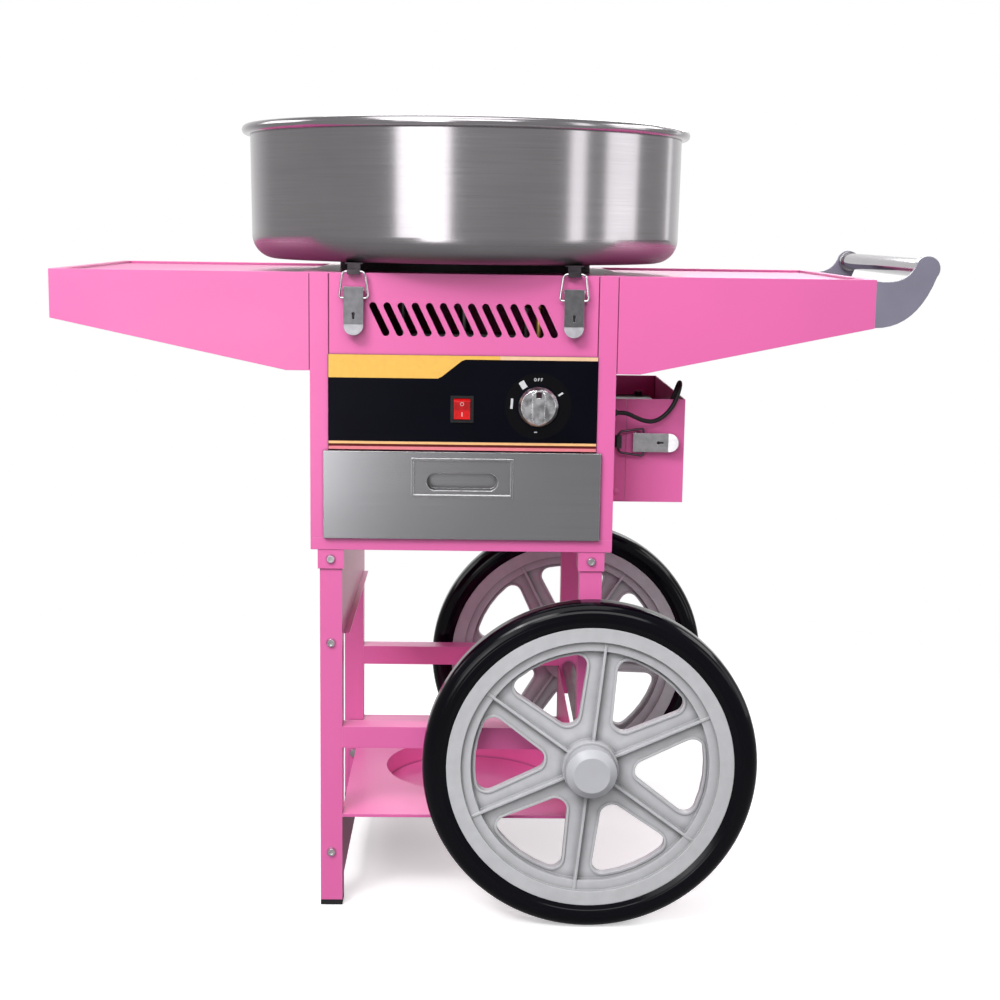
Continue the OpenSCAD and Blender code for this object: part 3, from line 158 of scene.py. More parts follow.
# Fine grain: a roughness that wavers by Spread, and the height that goes with it.
fine_grain, put, out = group(
    "fine_grain", [("Scale", "Float", 900.0), ("Roughness", "Float", 0.4), ("Spread", "Float", 0.1)],
    [("Roughness", "Float"), ("Height", "Float")])
where = add(fine_grain, "TexCoord")
grain = add(fine_grain, "TexNoise", Detail=2.0)
half = add(fine_grain, "Math", {1: 0.5}, operation="SUBTRACT")
waver = add(fine_grain, "Math", operation="MULTIPLY_ADD")
link(fine_grain,
     (where, "Object", grain, "Vector"), (put, "Scale", grain, "Scale"), (grain, "Fac", half, 0),
     (half, 0, waver, 0), (put, "Spread", waver, 1), (put, "Roughness", waver, 2),
     (waver, 0, out, "Roughness"), (grain, "Fac", out, "Height"))

# Soft edge: the normal over an edge rounded by Radius, and how near the edge is.
soft_edge, put, out = group(
    "soft_edge", [("Radius", "Float", 0.001)], [("Normal", "Vector"), ("Edge", "Float")])
rounded = add(soft_edge, "Bevel", samples=4)
flat = add(soft_edge, "NewGeometry")
turned_by = add(soft_edge, "VectorMath", operation="DOT_PRODUCT")
near = add(soft_edge, "MapRange", From_Min=0.985, From_Max=0.8)
link(soft_edge,
     (put, "Radius", rounded, "Radius"), (rounded, "Normal", turned_by, 0), (flat, "Normal", turned_by, 1),
     (turned_by, "Value", near, "Value"), (rounded, "Normal", out, "Normal"), (near, 0, out, "Edge"))


# Gives a material its colour from tone, its roughness and bump from skin, and paler edges that are partly
# wear and partly a painted highlight.
def lay_coat(tree, tone, skin, bump, edge, wear_and_highlight_colour):
    face = tree.nodes["Principled BSDF"]
    brink = placed(tree, soft_edge, Radius=edge)
    worn_and_lit_edge = add(tree, "MixRGB", Color2=(*wear_and_highlight_colour, 1))
    lift = add(tree, "Bump", Distance=bump)
    link(tree,
         (tone, "Colour", worn_and_lit_edge, "Color1"), (brink, "Edge", worn_and_lit_edge, "Fac"), (worn_and_lit_edge, 0, face, "Base Color"),
         (skin, "Roughness", face, "Roughness"), (skin, "Height", lift, "Height"),
         (brink, "Normal", lift, "Normal"), (lift, "Normal", face, "Normal"))
    return worn_and_lit_edge


# patches: their scale and depth; grain: its scale, its spread of roughness and its height.
def finish(name, colour, roughness, patches=(6, 0.1), grain=(900, 0.1, 0.00005), edge=0.0004,
           wear_and_highlight_colour=None, metal=0.0, shine=0.5):
    patch_scale, patch_depth = patches
    grain_scale, spread, bump = grain
    made, tree = material(name)
    face = tree.nodes["Principled BSDF"]
    face.inputs["Metallic"].default_value = metal
    face.inputs["Specular IOR Level"].default_value = shine
    tone = placed(tree, slow_drift, Colour=(*colour, 1), Scale=patch_scale, Depth=patch_depth)
    fine = placed(tree, fine_grain, Scale=grain_scale, Roughness=roughness, Spread=spread)
    lay_coat(tree, tone, fine, bump, edge, wear_and_highlight_colour or colour)
    return made


lead_curve.materials.append(finish("lead_sheath", (0.012, 0.012, 0.014), 0.5, patches=(40, 0.3), shine=0.3))

# Floor, backdrop and light
# A round pale studio floor fades into a white background, and soft windows stand on every side. Polished
# pieces show the white backdrop behind the cart and the dimmer room in front of it.
floor_half, floor_drop = 1.6, 0.0005
fade_start, fade_end = 0.6, 1.3
floor_mesh = bpy.data.meshes.new("floor")
floor_mesh.from_pydata([(x * floor_half, y * floor_half, 0) for x, y in ((-1, -1), (1, -1), (1, 1), (-1, 1))],
                       [], [(0, 1, 2, 3)])
floor = set_out("floor", floor_mesh)
floor.location.z = -floor_drop


def seen_directly(tree, mirrored):
    path = add(tree, "LightPath")
    mirror = add(tree, "Math", {1: mirrored}, operation="MULTIPLY")
    either = add(tree, "Math", operation="MAXIMUM")
    shown = add(tree, "Math", operation="MAXIMUM")
    link(tree,
         (path, "Is Glossy Ray", mirror, 0), (path, "Is Camera Ray", either, 0), (mirror, 0, either, 1),
         (either, 0, shown, 0), (path, "Is Transmission Ray", shown, 1))
    return shown


pale, tree = material("pale_floor")
face = tree.nodes["Principled BSDF"]
face.inputs["Roughness"].default_value = 0.9
face.inputs["Specular IOR Level"].default_value = 0.0
face.inputs["Emission Color"].default_value = (1, 1, 1, 1)
tone = add(tree, "MixRGB", Color1=(0.2, 0.2, 0.2, 1), Color2=(0.93, 0.93, 0.935, 1))
where = add(tree, "TexCoord")
out_from_middle = add(tree, "VectorMath", operation="LENGTH")
fade = add(tree, "MapRange", interpolation_type="SMOOTHSTEP", From_Min=fade_start, From_Max=fade_end,
           To_Min=1.0, To_Max=0.0)
seen = seen_directly(tree, mirrored=0.2)
glow = add(tree, "Math", {1: 0.42}, operation="MULTIPLY")
link(tree,
     (seen, 0, glow, 0), (glow, 0, face, "Emission Strength"), (seen, 0, tone, "Fac"),
     (tone, 0, face, "Base Color"), (where, "Object", out_from_middle, 0),
     (out_from_middle, "Value", fade, "Value"), (fade, 0, face, "Alpha"))
floor_mesh.materials.append(pale)

front_room = 0.44  # the share of the backdrop's white that polished pieces see in front of the cart
world = bpy.data.worlds.new("studio")
bpy.context.scene.world = world
world.use_nodes = True
tree = world.node_tree
fill = tree.nodes["Background"]
fill.inputs["Color"].default_value = (1, 1, 1, 1)
fill.inputs["Strength"].default_value = 0.04
white = add(tree, "Background", Color=(1, 1, 1, 1))
backdrop = add(tree, "MixShader")
heading = add(tree, "TexCoord")
away = add(tree, "SeparateXYZ")
room = add(tree, "MapRange", interpolation_type="SMOOTHSTEP", From_Min=0.5, From_Max=1.1,
           To_Min=front_room - 1, To_Max=0.0)
path = add(tree, "LightPath")
shown = add(tree, "Math", {2: 1}, operation="MULTIPLY_ADD")
seen = seen_directly(tree, mirrored=1)
link(tree,
     (heading, "Generated", away, 0), (away, "Y", room, "Value"), (path, "Is Glossy Ray", shown, 0),
     (room, 0, shown, 1), (shown, 0, white, "Strength"), (seen, 0, backdrop, 0), (fill, 0, backdrop, 1),
     (white, 0, backdrop, 2), (backdrop, 0, tree.nodes["World Output"], "Surface"))

# The low window brightens the drawer's left end, and the high strip picks out the front tyre.
middle, lower_middle = (-0.03, 0, 0.6), (-0.03, 0, 0.5)
for name, spot, aim, width, height, power in [
        ("left_window", (-0.93, -2.38, 1.0), (-0.03, 0, 0.85), 1.18, 1.0, 9.6),
        ("front_window", (0.3, -3.4, 2.35), middle, 2.4, 1.1, 42),
        ("right_strip", (2.11, -1.4, 1.15), middle, 0.4, 1.9, 4.4),
        ("right_window", (2.5, -0.2, 1.2), middle, 1.05, 1.9, 10.5),
        ("back_strip", (1.86, 1.64, 1.2), middle, 0.22, 1.9, 1.5),
        ("high_front_window", (-1.1, -2.1, 2.5), middle, 1.3, 1.0, 46),
        ("top_window", (-0.3, -0.75, 2.9), middle, 2.2, 1.8, 28),
        ("back_window", (0.5, 2.6, 1.9), lower_middle, 2.2, 0.9, 32),
        ("high_left_window", (-2.5, 0.7, 1.8), lower_middle, 1.6, 1.0, 16),
        ("high_right_window", (2.5, 0.4, 2.0), lower_middle, 1.6, 1.0, 22),
        ("low_window", (-0.64, -2.3, 0.32), (-0.19, -0.21, 0.46), 0.5, 0.5, 3.4),
        ("high_strip", (-1.3, -1.9, 2.2), (0.05, -0.27, 0.3), 0.55, 0.14, 9)]:
    lamp = bpy.data.lights.new(name, "AREA")
    lamp.shape = "RECTANGLE"
    lamp.size = width
    lamp.size_y = height
    lamp.energy = power
    window = set_out(name, lamp)
    window.location = spot
    window.rotation_euler = (Vector(aim) - Vector(spot)).to_track_quat("-Z", "Y").to_euler()
bpy.context.scene.view_settings.view_transform = "Standard"

# Legs, sleeves, cross rails, side panel and shelf
# Square steel tube, folded channel and one pressed sheet, bolted together. Each is powder coated in the
# same glossy pink, with a slight orange peel, paler edges that are partly thinner paint and partly a painted
# highlight, and painted shade in its inner corners.

# Corner shade: a painted shade that sinks by up to Depth within Distance of an inner corner.
corner_shade, put, out = group(
    "corner_shade", [("Distance", "Float", 0.006), ("Depth", "Float", 0.5)], [("Shade", "Float")])
hidden = add(corner_shade, "AmbientOcclusion", samples=6)
least = add(corner_shade, "Math", {0: 1}, operation="SUBTRACT")
shade = add(corner_shade, "MapRange", From_Min=0.35, From_Max=0.95)
link(corner_shade,
     (put, "Distance", hidden, "Distance"), (put, "Depth", least, 1), (hidden, "AO", shade, "Value"),
     (least, 0, shade, "To Min"), (shade, 0, out, "Shade"))


# Puts a node between a socket and what feeds it.
def put_before(node, socket, between, inlet):
    links = node.id_data.links
    links.new(node.inputs[socket].links[0].from_socket, between.inputs[inlet])
    links.new(between.outputs[0], node.inputs[socket])


# Darkens the colour fed to a socket near inner corners: painted shade.
def shade_corners(node, socket, distance, depth):
    tree = node.id_data
    shade_node = placed(tree, corner_shade, Distance=distance, Depth=depth)
    shaded = add(tree, "MixRGB", blend_type="MULTIPLY", Fac=1.0)
    link(tree, (shade_node, "Shade", shaded, "Color2"))
    put_before(node, socket, shaded, "Color1")


def dress(coat, *names):
    for name in names:
        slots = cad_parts[name].data.materials
        slots.clear()
        slots.append(coat)


powder_coat = finish("pink_powder_coat", (0.83, 0.15, 0.435), 0.42, patches=(3.5, 0.06),
                     grain=(420, 0.06, 0.000012), edge=0.0009, wear_and_highlight_colour=(0.9, 0.26, 0.55))
face = powder_coat.node_tree.nodes["Principled BSDF"]
face.inputs["Coat Weight"].default_value = 0.22
face.inputs["Coat Roughness"].default_value = 0.12
# Painted shade in the coat's inner corners.
shade_corners(face, "Base Color", distance=0.004, depth=0.55)
dress(powder_coat, "left_legs", "right_legs", "leg_sleeves", "cross_rails", "left_side_panel", "shelf")

# Foot caps
# Soft black rubber cups pushed on the two left legs, dulled by the floor.
foot_rubber = finish("foot_rubber", (0.016, 0.016, 0.017), 0.65, patches=(60, 0.35),
                     grain=(700, 0.2, 0.0001), shine=0.3)
dress(foot_rubber, "foot_caps")

# Frame bolts and back-panel screws
# Button-headed socket bolts and small pan heads, zinc plated, with a faint smoky pattern.
zinc = finish("zinc_plate", (0.66, 0.65, 0.67), 0.22, patches=(90, 0.3), grain=(800, 0.15, 0.00002),
              edge=0.0003, wear_and_highlight_colour=(0.85, 0.85, 0.86), metal=1.0)
dress(zinc, "bolts_and_screws")

# Axle, spacers, washers and nuts
# Plain drawn bar and turned rings, oiled and left bare.
bare_steel = finish("bare_steel", (0.30, 0.29, 0.29), 0.36, patches=(25, 0.3), grain=(600, 0.18, 0.00003),
                    metal=1.0)
dress(bare_steel, "axle", "axle_fittings")

# Wheels and hub caps
# Silver-grey structural foam mouldings: six ribbed spokes in one piece with the rim. The skin is mottled
# by the foam's flow, with a painted highlight on its lips and painted shade down in its corners.
foam, tree = material("wheel_foam")
tree.nodes["Principled BSDF"].inputs["Specular IOR Level"].default_value = 0.4
broad = placed(tree, slow_drift, Colour=(0.6, 0.6, 0.627, 1), Scale=9.0, Depth=0.08)
flow = placed(tree, slow_drift, Scale=70.0, Depth=0.07)
fleck = placed(tree, fine_grain, Scale=1600.0, Roughness=0.4, Spread=0.28)
link(tree, (broad, "Colour", flow, "Colour"))
# The lips' paler colour is a painted highlight.
lips = lay_coat(tree, flow, fleck, bump=0.00007, edge=0.0013, wear_and_highlight_colour=(0.74, 0.74, 0.76))
# Painted shade down in the spokes' corners.
shade_corners(lips, "Color1", distance=0.01, depth=0.55)
dress(foam, "front_wheel", "rear_wheel")
cap_grey = finish("hub_cap_moulding", (0.54, 0.545, 0.58), 0.36, patches=(20, 0.06),
                  grain=(1600, 0.16, 0.00003), edge=0.0012, wear_and_highlight_colour=(0.66, 0.66, 0.68), shine=0.45)
dress(cap_grey, "front_hub_cap", "rear_hub_cap")

# Tyres
# Solid black rubber pressed on the rims, with a polished sidewall and two moulded lines round it.

# Turned: the radius about an axis through Centre along Z, and lines that run round it.
turned, put, out = group(
    "turned", [("Vector", "Vector", (0, 0, 0)), ("Centre", "Vector", (0, 0, 0)), ("Around", "Float", 3.0),
               ("Across", "Float", 700.0)], [("Radius", "Float"), ("Lines", "Vector")])
offset = add(turned, "VectorMath", operation="SUBTRACT")
parts = add(turned, "SeparateXYZ")
level = add(turned, "CombineXYZ")
radius = add(turned, "VectorMath", operation="LENGTH")
heading = add(turned, "VectorMath", operation="NORMALIZE")
swept = add(turned, "VectorMath", operation="SCALE")
depth = add(turned, "Math", operation="ADD")
packed = add(turned, "Math", operation="MULTIPLY")
upright = add(turned, "CombineXYZ")
lines = add(turned, "VectorMath", operation="ADD")
link(turned,
     (put, "Vector", offset, 0), (put, "Centre", offset, 1), (offset, 0, parts, 0),
     (parts, "X", level, "X"), (parts, "Y", level, "Y"), (level, 0, radius, 0), (level, 0, heading, 0),
     (heading, 0, swept, 0), (put, "Around", swept, "Scale"), (parts, "Z", depth, 0),
     (radius, "Value", depth, 1), (depth, 0, packed, 0), (put, "Across", packed, 1),
     (packed, 0, upright, "Z"), (swept, 0, lines, 0), (upright, 0, lines, 1),
     (radius, "Value", out, "Radius"), (lines, 0, out, "Lines"))

# Moulded line: a low ridge where Value is within Half of At.
moulded_line, put, out = group(
    "moulded_line", [("Value", "Float", 0.0), ("At", "Float", 0.0), ("Half", "Float", 0.001)],
    [("Height", "Float")])
apart = add(moulded_line, "Math", operation="SUBTRACT")
size = add(moulded_line, "Math", operation="ABSOLUTE")
crest = add(moulded_line, "MapRange", interpolation_type="SMOOTHSTEP", To_Min=1.0, To_Max=0.0)
link(moulded_line,
     (put, "Value", apart, 0), (put, "At", apart, 1), (apart, 0, size, 0), (size, 0, crest, "Value"),
     (put, "Half", crest, "From Max"), (crest, 0, out, "Height"))

axle_x, axle_z = 0.1115, 0.187
rubber, tree = material("tyre_rubber")
face = tree.nodes["Principled BSDF"]
face.inputs["Specular IOR Level"].default_value = 0.16
where = add(tree, "TexCoord")
parts = add(tree, "SeparateXYZ")
on_axle = add(tree, "CombineXYZ")
about = placed(tree, turned, Centre=(axle_x, axle_z, 0))
inner_line = placed(tree, moulded_line, At=0.1655, Half=0.0009)
outer_line = placed(tree, moulded_line, At=0.1725, Half=0.0007)
both_lines = add(tree, "Math", operation="ADD")
tone = placed(tree, slow_drift, Colour=(0.0015, 0.0015, 0.0042, 1), Scale=9.0, Depth=0.4)
fine = placed(tree, fine_grain, Scale=500.0, Roughness=0.12, Spread=0.05)
ridges = add(tree, "Bump", Distance=0.00012)
lift = add(tree, "Bump", Distance=0.000008)
link(tree,
     (where, "Object", parts, 0), (parts, "X", on_axle, "X"), (parts, "Z", on_axle, "Y"),
     (parts, "Y", on_axle, "Z"), (on_axle, 0, about, "Vector"), (about, "Radius", inner_line, "Value"),
     (about, "Radius", outer_line, "Value"), (inner_line, "Height", both_lines, 0),
     (outer_line, "Height", both_lines, 1), (both_lines, 0, ridges, "Height"),
     (fine, "Height", lift, "Height"), (ridges, "Normal", lift, "Normal"), (lift, "Normal", face, "Normal"),
     (tone, "Colour", face, "Base Color"), (fine, "Roughness", face, "Roughness"))
dress(rubber, "front_tyre", "rear_tyre")

# Base pan, body shell, front panel, back panel and top plate
# Folded sheet of the same pink coat, seamed at the corner strips, where the edges are paler, partly thinner
# paint and partly a painted highlight, and a dark strip of painted shade lies along each seam. The louvre
# slots are punched.
dress(powder_coat, "base_pan", "body_shell", "front_panel", "rear_panel", "top_plate")


def ink(name, colour):
    return finish(name, colour, 0.42, patches=(160, 0.06), grain=(1400, 0.1, 0.00001), shine=0.2)


# Lays outlines given in mm, as seen from the front, on a node's face, each layer a lift above the last.
def laid_print(name, node, body, layers, lift):
    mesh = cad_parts[node].data
    ground = BVHTree.FromPolygons([v.co for v in mesh.vertices], [p.vertices for p in mesh.polygons])
    in_front, inward = -1, Vector((0, 1, 0))
    points, faces, which = [], [], []
    sheet = bpy.data.meshes.new(name)
    for index, (coat, patches) in enumerate(layers):
        sheet.materials.append(coat)
        for outline in patches:
            start = len(points)
            for x, z in outline:
                hit, up = ground.ray_cast(Vector((x * mm, in_front, z * mm)), inward)[:2]
                points.append(hit + up * lift * (index + 1))
            faces.append(range(start, len(points)))
            which.append(index)
    sheet.from_pydata(points, [], faces)
    sheet.polygons.foreach_set("material_index", which)
    piece = set_out(name, sheet)
    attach(piece, body)


# Each seam gets a dark strip of painted shade, laid just above the sheet.
seam_half, seam_lift = 0.5, 0.00004
seam_shade = ink("seam_shade", (0.2, 0.016, 0.08))


def upright_seam(name, node, x, low, high):
    left, right = x - seam_half, x + seam_half
    laid_print(name, node, "cart", [
        (seam_shade, [[(left, low), (right, low), (right, high), (left, high)]])], seam_lift)


upright_seam("left_panel_seam", "front_panel", x=-182.15, low=639, high=726)
upright_seam("right_panel_seam", "front_panel", x=113.15, low=639, high=726)

# Control fascia
# A black printed overlay on thin sheet, nearly matt, with a yellow tag and lines in cream, orange and red,
# and white marks about the dial. The print is laid a hair above the sheet.
black_print = finish("fascia_overlay", (0.0026, 0.0028, 0.0068), 0.3, patches=(14, 0.3),
                     grain=(500, 0.08, 0.00001), shine=0.05)
dress(black_print, "control_fascia")


def bar(x, z, width, height, turn=0):
    c, s = math.cos(math.radians(turn)), math.sin(math.radians(turn))
    return [[(x + c * u * width / 2 - s * v * height / 2, z + s * u * width / 2 + c * v * height / 2)
             for u, v in ((-1, -1), (1, -1), (1, 1), (-1, 1))]]


def hoop(x, z, outer, inner, squeeze=1.0, steps=48):
    turns = [math.tau * i / steps for i in range(steps)]
    rim = [[(x + squeeze * r * math.cos(t), z + r * math.sin(t)) for t in turns] for r in (outer, inner)]
    return [[rim[0][i], rim[0][(i + 1) % steps], rim[1][(i + 1) % steps], rim[1][i]] for i in range(steps)]


def letter_f(x, z, width, height, stroke):
    return (bar(x - width / 2 + stroke / 2, z, stroke, height)
            + bar(x, z + height / 2 - stroke / 2, width, stroke)
            + bar(x - stroke / 4, z, width - stroke / 2, stroke))


left, right, low, high = -182.5, 113.5, 533.7, 638.3
salmon_top, red_top, orange_top = 537.2, 540, 542.8
tag_low, tag_end, cream_low, cream_start = 613, 6, 634.2, 1
tag_slant = [(-62.4, tag_low), (-58, 615.2), (-36.5, 632.4), (-32, cream_low)]
dial_x, dial_z, dial_outer, dial_inner = 48.5, 583.5, 36.5, 24
mark_z, letter_width, letter_height, stroke = dial_z + 29.6, 2.1, 3.4, 0.75
print_lift = 0.00003


def full_line(bottom, top):
    return [[(left, bottom), (right, bottom), (right, top), (left, top)]]


dial_marks = hoop(dial_x - 3.6, mark_z, outer=1.75, inner=1.0, squeeze=0.8, steps=20)
for across in (0.2, 3.5):
    dial_marks += letter_f(dial_x + across, mark_z, letter_width, letter_height, stroke)
for across, up, width, height, turn in ((-17, 23.6, 6.4, 8.6, 32), (-29.2, 2.8, 2.6, 11.5, -4),
                                        (24.6, 13.8, 2, 6, -58), (-2.4, -28.6, 3.4, 1.2, 0)):
    dial_marks += bar(dial_x + across, dial_z + up, width, height, turn)
dial_ground = finish("dial_ground", (0.0015, 0.0015, 0.003), 0.2, patches=(60, 0.3), shine=0.15)
laid_print("fascia_print", "control_fascia", "cart", [
    (dial_ground, hoop(dial_x, dial_z, dial_outer, dial_inner, steps=64)),
    (ink("cream_ink", (0.93, 0.62, 0.38)),
     [[(cream_start, cream_low), (right, cream_low), (right, high), (tag_end, high)]]),
    (ink("yellow_ink", (0.94, 0.54, 0.115)),
     [[(left, tag_low), *tag_slant, (tag_end, cream_low), (tag_end, high), (left, high)]]),
    (ink("orange_ink", (0.95, 0.55, 0.25)), full_line(red_top, orange_top)),
    (ink("dark_red_ink", (0.1, 0.007, 0.005)), full_line(salmon_top, red_top)),
    (ink("salmon_ink", (0.83, 0.24, 0.28)), full_line(low, salmon_top)),
    (ink("white_ink", (0.66, 0.66, 0.68)), dial_marks)], print_lift)

# Power switch
# A black moulded bezel snapped into the fascia, with a clear red rocker that carries the usual ring and bar.
bezel_black = finish("bezel_moulding", (0.009, 0.009, 0.011), 0.35, patches=(80, 0.3),
                     grain=(1200, 0.15, 0.00003), shine=0.3)
dress(bezel_black, "switch_bezel")
rocker_red = finish("rocker_red", (0.72, 0.006, 0.009), 0.16, patches=(120, 0.3), grain=(500, 0.06, 0.00001),
                    edge=0.0006, wear_and_highlight_colour=(0.9, 0.05, 0.05))
dress(rocker_red, "power_rocker")
rocker_x, ring_z, bar_z = -35.5, 585.6, 574
mark_lift = 0.00005
laid_print("rocker_marks", "power_rocker", "rocker", [
    (ink("rocker_ink", (0.85, 0.6, 0.6)),
     hoop(rocker_x, ring_z, outer=2.2, inner=1.5, steps=24)
     + bar(rocker_x, bar_z, width=0.9, height=4.6))], mark_lift)

# Gas knob
# A zinc casting, chromed over its rough skin, with a raised grip bar. Dark paint fills the pointer's notch.
chrome = finish("chrome_plate", (0.82, 0.81, 0.84), 0.16, patches=(95, 0.6), grain=(260, 0.06, 0.00003),
                edge=0.0011, wear_and_highlight_colour=(0.95, 0.95, 0.96), metal=1.0)
dress(chrome, "gas_knob")
notch_up, notch_side = 14.2, 6.2
laid_print("knob_pointer", "gas_knob", "knob", [
    (ink("pointer_paint", (0.02, 0.006, 0.011)),
     bar(dial_x, dial_z + notch_up, notch_side, notch_side))], mark_lift)

# Gas valve, pipe, inlet and burner ring
# Turned and bent brass, dulled by heat round the burner.
brass = finish("brass", (0.55, 0.36, 0.12), 0.32, patches=(45, 0.35), grain=(600, 0.15, 0.00002),
               edge=0.0003, wear_and_highlight_colour=(0.75, 0.55, 0.25), metal=1.0)
dress(brass, "gas_valve", "gas_pipe", "gas_inlet", "burner_ring")

# Drawer
# A folded stainless front on a stainless box, which slides on two folded steel runners. The sheet is
# brushed along its length. The pull is a pressed plate with a sunk finger slot.
dress(bare_steel, "drawer_runners")

# Brushed lines: shade, roughness and height that change along Vector, stretched to suit.
brushed_lines, put, out = group(
    "brushed_lines", [("Vector", "Vector", (0, 0, 0)), ("Colour", "Color", (1, 1, 1, 1)),
                      ("Depth", "Float", 0.1), ("Roughness", "Float", 0.25), ("Spread", "Float", 0.08)],
    [("Colour", "Color"), ("Roughness", "Float"), ("Height", "Float")])
streak = add(brushed_lines, "TexNoise", Scale=1.0, Detail=4.0)
least = add(brushed_lines, "Math", {0: 1}, operation="SUBTRACT")
sink = add(brushed_lines, "MapRange", From_Min=0.3, From_Max=0.7)
tint = add(brushed_lines, "MixRGB", blend_type="MULTIPLY", Fac=1.0)
half = add(brushed_lines, "Math", {1: 0.5}, operation="SUBTRACT")
waver = add(brushed_lines, "Math", operation="MULTIPLY_ADD")
link(brushed_lines,
     (put, "Vector", streak, "Vector"), (put, "Depth", least, 1), (streak, "Fac", sink, "Value"),
     (least, 0, sink, "To Min"), (put, "Colour", tint, "Color1"), (sink, 0, tint, "Color2"),
     (streak, "Fac", half, 0), (half, 0, waver, 0), (put, "Spread", waver, 1), (put, "Roughness", waver, 2),
     (tint, 0, out, "Colour"), (waver, 0, out, "Roughness"), (streak, "Fac", out, "Height"))


# The lines run round centre where one is given, and else along the sheet, by stretch.
def brushed(name, colour, roughness, depth, bump, edge, stretch=None, centre=None,
            wear_and_highlight_colour=(0.8, 0.8, 0.81), corner_shade_depth=0):
    made, tree = material(name)
    tree.nodes["Principled BSDF"].inputs["Metallic"].default_value = 1
    where = add(tree, "TexCoord")
    if centre:
        follow, course = placed(tree, turned, Centre=centre, Around=2.5, Across=900.0), "Lines"
    else:
        follow, course = add(tree, "Mapping", Scale=stretch), "Vector"
    tone = placed(tree, slow_drift, Colour=(*colour, 1), Scale=7.0, Depth=0.08)
    lines = placed(tree, brushed_lines, Depth=depth, Roughness=roughness, Spread=0.05)
    link(tree, (where, "Object", follow, "Vector"), (follow, course, lines, "Vector"),
         (tone, "Colour", lines, "Colour"))
    worn_and_lit_edge = lay_coat(tree, lines, lines, bump, edge, wear_and_highlight_colour)
    # Painted shade in inner corners, when a depth for it is given.
    if corner_shade_depth:
        shade_corners(worn_and_lit_edge, "Color1", distance=0.007, depth=corner_shade_depth)
    return made


drawer_steel = brushed("drawer_stainless", (0.35, 0.347, 0.363), 0.24, depth=0.06, bump=0.0000015,
                       edge=0.0007, stretch=(5, 5, 900))
dress(drawer_steel, "drawer_front", "drawer_box")
# The pull's pale edges are a painted highlight, and its sunk slot gets painted shade.
pull_steel = brushed("pull_stainless", (0.36, 0.355, 0.37), 0.22, depth=0.06, bump=0.0000015, edge=0.0014,
                     stretch=(9, 9, 1200), wear_and_highlight_colour=(0.88, 0.88, 0.9), corner_shade_depth=0.8)
dress(pull_steel, "drawer_pull")

# Bowl and its seat
# Spun stainless with a rolled bead, brushed round its axis, on a black rubber ring. The wall is polished,
# and the rounded corner at its foot is rougher and darker.
bowl_axis = (-0.0345, 0, 0)
foot_low, foot_high, foot_in, foot_out = 0.744, 0.77, 0.215, 0.235
bowl_steel = brushed("bowl_stainless", (0.415, 0.396, 0.413), 0.17, depth=0.08, bump=0.000001, edge=0.0008,
                     centre=bowl_axis)
tree = bowl_steel.node_tree
face = tree.nodes["Principled BSDF"]
where = add(tree, "TexCoord")
parts = add(tree, "SeparateXYZ")
about = placed(tree, turned, Centre=bowl_axis)
low_down = add(tree, "MapRange", interpolation_type="SMOOTHSTEP", From_Min=foot_low, From_Max=foot_high,
               To_Min=1.0, To_Max=0.0)
far_out = add(tree, "MapRange", interpolation_type="SMOOTHSTEP", From_Min=foot_in, From_Max=foot_out)
corner = add(tree, "Math", operation="MULTIPLY")
rasped = add(tree, "Math", {1: 0.25}, operation="MULTIPLY_ADD")
darkened_foot = add(tree, "MixRGB", blend_type="MULTIPLY", Color2=(0.5, 0.5, 0.5, 1))
link(tree,
     (where, "Object", parts, 0), (where, "Object", about, "Vector"), (parts, "Z", low_down, "Value"),
     (about, "Radius", far_out, "Value"), (low_down, 0, corner, 0), (far_out, 0, corner, 1),
     (corner, 0, rasped, 0), (corner, 0, darkened_foot, "Fac"))
put_before(face, "Roughness", rasped, 2)
put_before(face, "Base Color", darkened_foot, "Color1")
dress(bowl_steel, "bowl")
dress(foot_rubber, "bowl_seat")

# Toggle latches
# Pressed and folded zinc-plated levers on folded bases, with bent wire bails and steel hooks darkened as
# painted shade; the side box's bail is darkened the same way. The side box's lever is a brighter copy of
# the plate, a painted light for a lever in shade. The pivot pins end in small domed heads.
lever_grain = (900, 0.12, 0.000006)
lever_zinc = finish("lever_zinc", (0.175, 0.172, 0.184), 0.34, patches=(150, 0.2), grain=lever_grain,
                    edge=0.0006, wear_and_highlight_colour=(0.55, 0.55, 0.57), metal=1.0)
dress(lever_zinc, "left_latch_lever", "right_latch_lever", "latch_bases")
# A brighter copy of the lever plate: painted light for the side box's lever, which sits in shade.
lit_box_lever_zinc = finish("box_lever_painted_light", (0.5, 0.49, 0.51), 0.3, patches=(150, 0.2), grain=lever_grain,
                     edge=0.0006, wear_and_highlight_colour=(0.75, 0.75, 0.77), metal=1.0)
dress(lit_box_lever_zinc, "box_latch_lever")
bail_wire = finish("bail_wire", (0.6, 0.59, 0.61), 0.16, patches=(90, 0.25), grain=(800, 0.1, 0.00001),
                   metal=1.0)
dress(bail_wire, "left_latch_bail", "right_latch_bail")
# Darkened steel: painted shade on the catches and the side box's bail.
shaded_hook_steel = finish("shaded_hook_steel", (0.07, 0.06, 0.068), 0.38, patches=(60, 0.3), grain=(700, 0.15, 0.00003),
                    metal=1.0)
dress(shaded_hook_steel, "latch_catches", "box_latch_bail")


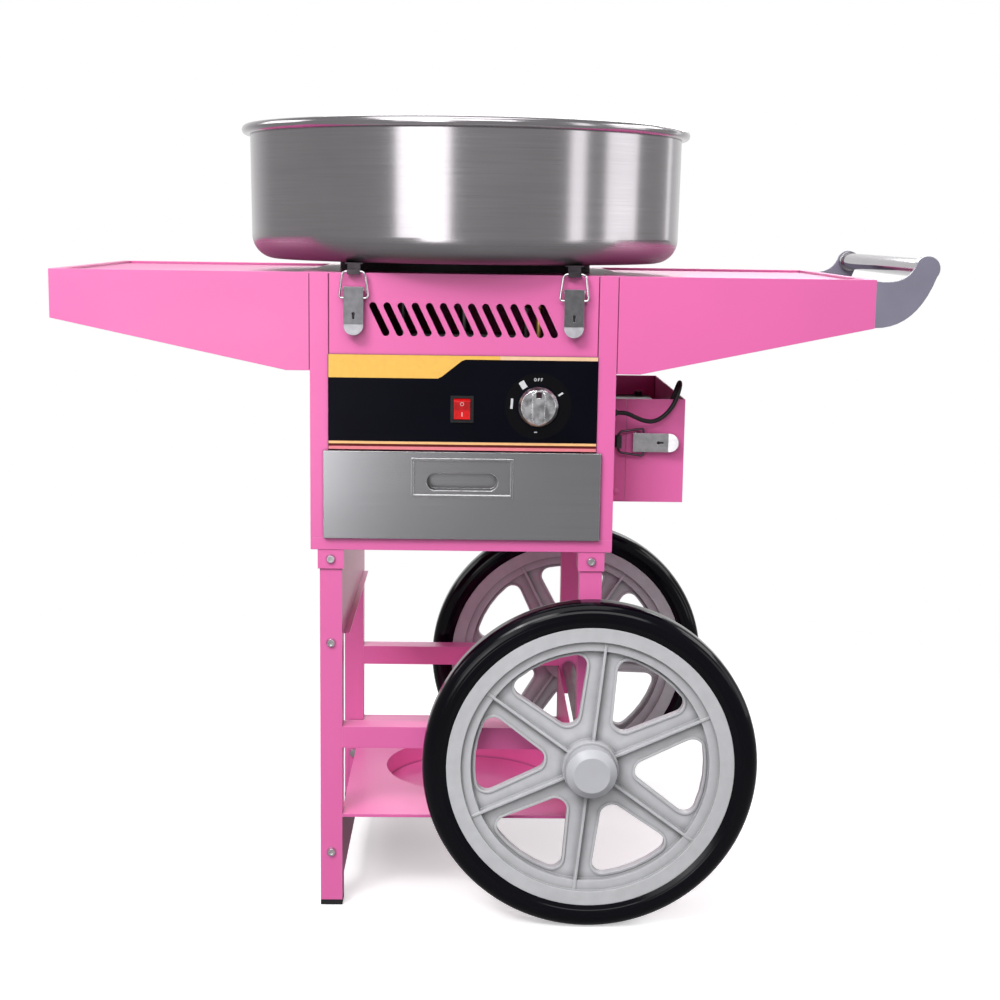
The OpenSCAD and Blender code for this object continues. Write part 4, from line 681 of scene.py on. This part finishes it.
def pin_heads(name, spots, along, radius, height, steps=20, rings=4):
    across = Vector((0, 1, 0))
    beside = along.cross(across)
    points, faces = [], []
    for spot, sign in spots:
        start = len(points)
        for i in range(rings):
            lean = math.pi / 2 * i / rings
            for j in range(steps):
                t = math.tau * j / steps
                points.append(spot + radius * math.cos(lean) * (math.cos(t) * across + math.sin(t) * beside)
                              + sign * height * math.sin(lean) * along)
        points.append(spot + sign * height * along)
        for i in range(rings - 1):
            lower, upper = start + i * steps, start + (i + 1) * steps
            for j in range(steps):
                after = (j + 1) % steps
                faces.append((lower + j, lower + after, upper + after, upper + j))
        top = start + (rings - 1) * steps
        faces += [(top + j, top + (j + 1) % steps, len(points) - 1) for j in range(steps)]
    mesh = bpy.data.meshes.new(name)
    mesh.from_pydata(points, [], faces)
    mesh.shade_smooth()
    mesh.materials.append(zinc)
    piece = set_out(name, mesh)
    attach(piece, "cart")


pin_gap = 0.0001
for side, pivot, along in (("left", (-0.1545, -0.208, 0.709), Vector((1, 0, 0))),
                           ("right", (0.0855, -0.208, 0.709), Vector((1, 0, 0))),
                           ("box", (0.1645, -0.128, 0.5358), Vector((0, 0, 1)))):
    lowest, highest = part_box(side + "_latch_lever")
    reach = (highest - lowest).dot(along) / 2 + pin_gap
    ends = [(Vector(pivot) + sign * reach * along, sign) for sign in (-1, 1)]
    pin_heads(side + "_latch_pin_heads", ends, along, radius=0.0021, height=0.0012)

# Drive under the bowl
# A motor on a folded bracket turns the spindle in an aluminium bearing housing. The spinning head, its
# slotted band and the lid are machined aluminium.
dress(bare_steel, "motor_bracket", "drive_motor", "spindle")
aluminium = brushed("turned_aluminium", (0.5, 0.5, 0.51), 0.3, depth=0.12, bump=0.000003, edge=0.0005,
                    centre=bowl_axis)
dress(aluminium, "spinner_head", "spinner_band", "spinner_lid", "bearing_housing")

# Side trays
# Folded and welded sheet with a shallow recess on top, in the body's pink coat.
dress(powder_coat, "left_tray", "right_tray")
# Painted shade along the seams where the trays meet the body.
upright_seam("left_tray_seam", "left_tray", x=-203.6, low=621, high=726)
upright_seam("right_tray_seam", "right_tray", x=134.6, low=621, high=726)

# Handle
# Two grey painted cast plates screwed to the right tray hold a chromed tube with turned collars.
cast_grey = finish("grey_casting", (0.235, 0.225, 0.295), 0.34, patches=(20, 0.1), grain=(500, 0.1, 0.00004),
                   edge=0.001, wear_and_highlight_colour=(0.4, 0.39, 0.47))
dress(cast_grey, "handle_plates")
tube_chrome = finish("tube_chrome", (0.37, 0.345, 0.375), 0.08, patches=(30, 0.06),
                     grain=(700, 0.05, 0.000003), edge=0.0006, wear_and_highlight_colour=(0.75, 0.74, 0.77), metal=1.0)
dress(tube_chrome, "handle_tube")

# Side box, battery and gland
# A welded pink sheet box, open on top, screwed to the body by a folded strip. The battery's case and the
# gland are black mouldings.
dress(powder_coat, "side_box", "box_strip")
case_black = finish("case_moulding", (0.014, 0.014, 0.016), 0.48, patches=(30, 0.3),
                    grain=(900, 0.18, 0.00008), edge=0.0006, wear_and_highlight_colour=(0.03, 0.03, 0.033))
dress(case_black, "battery", "cord_gland")
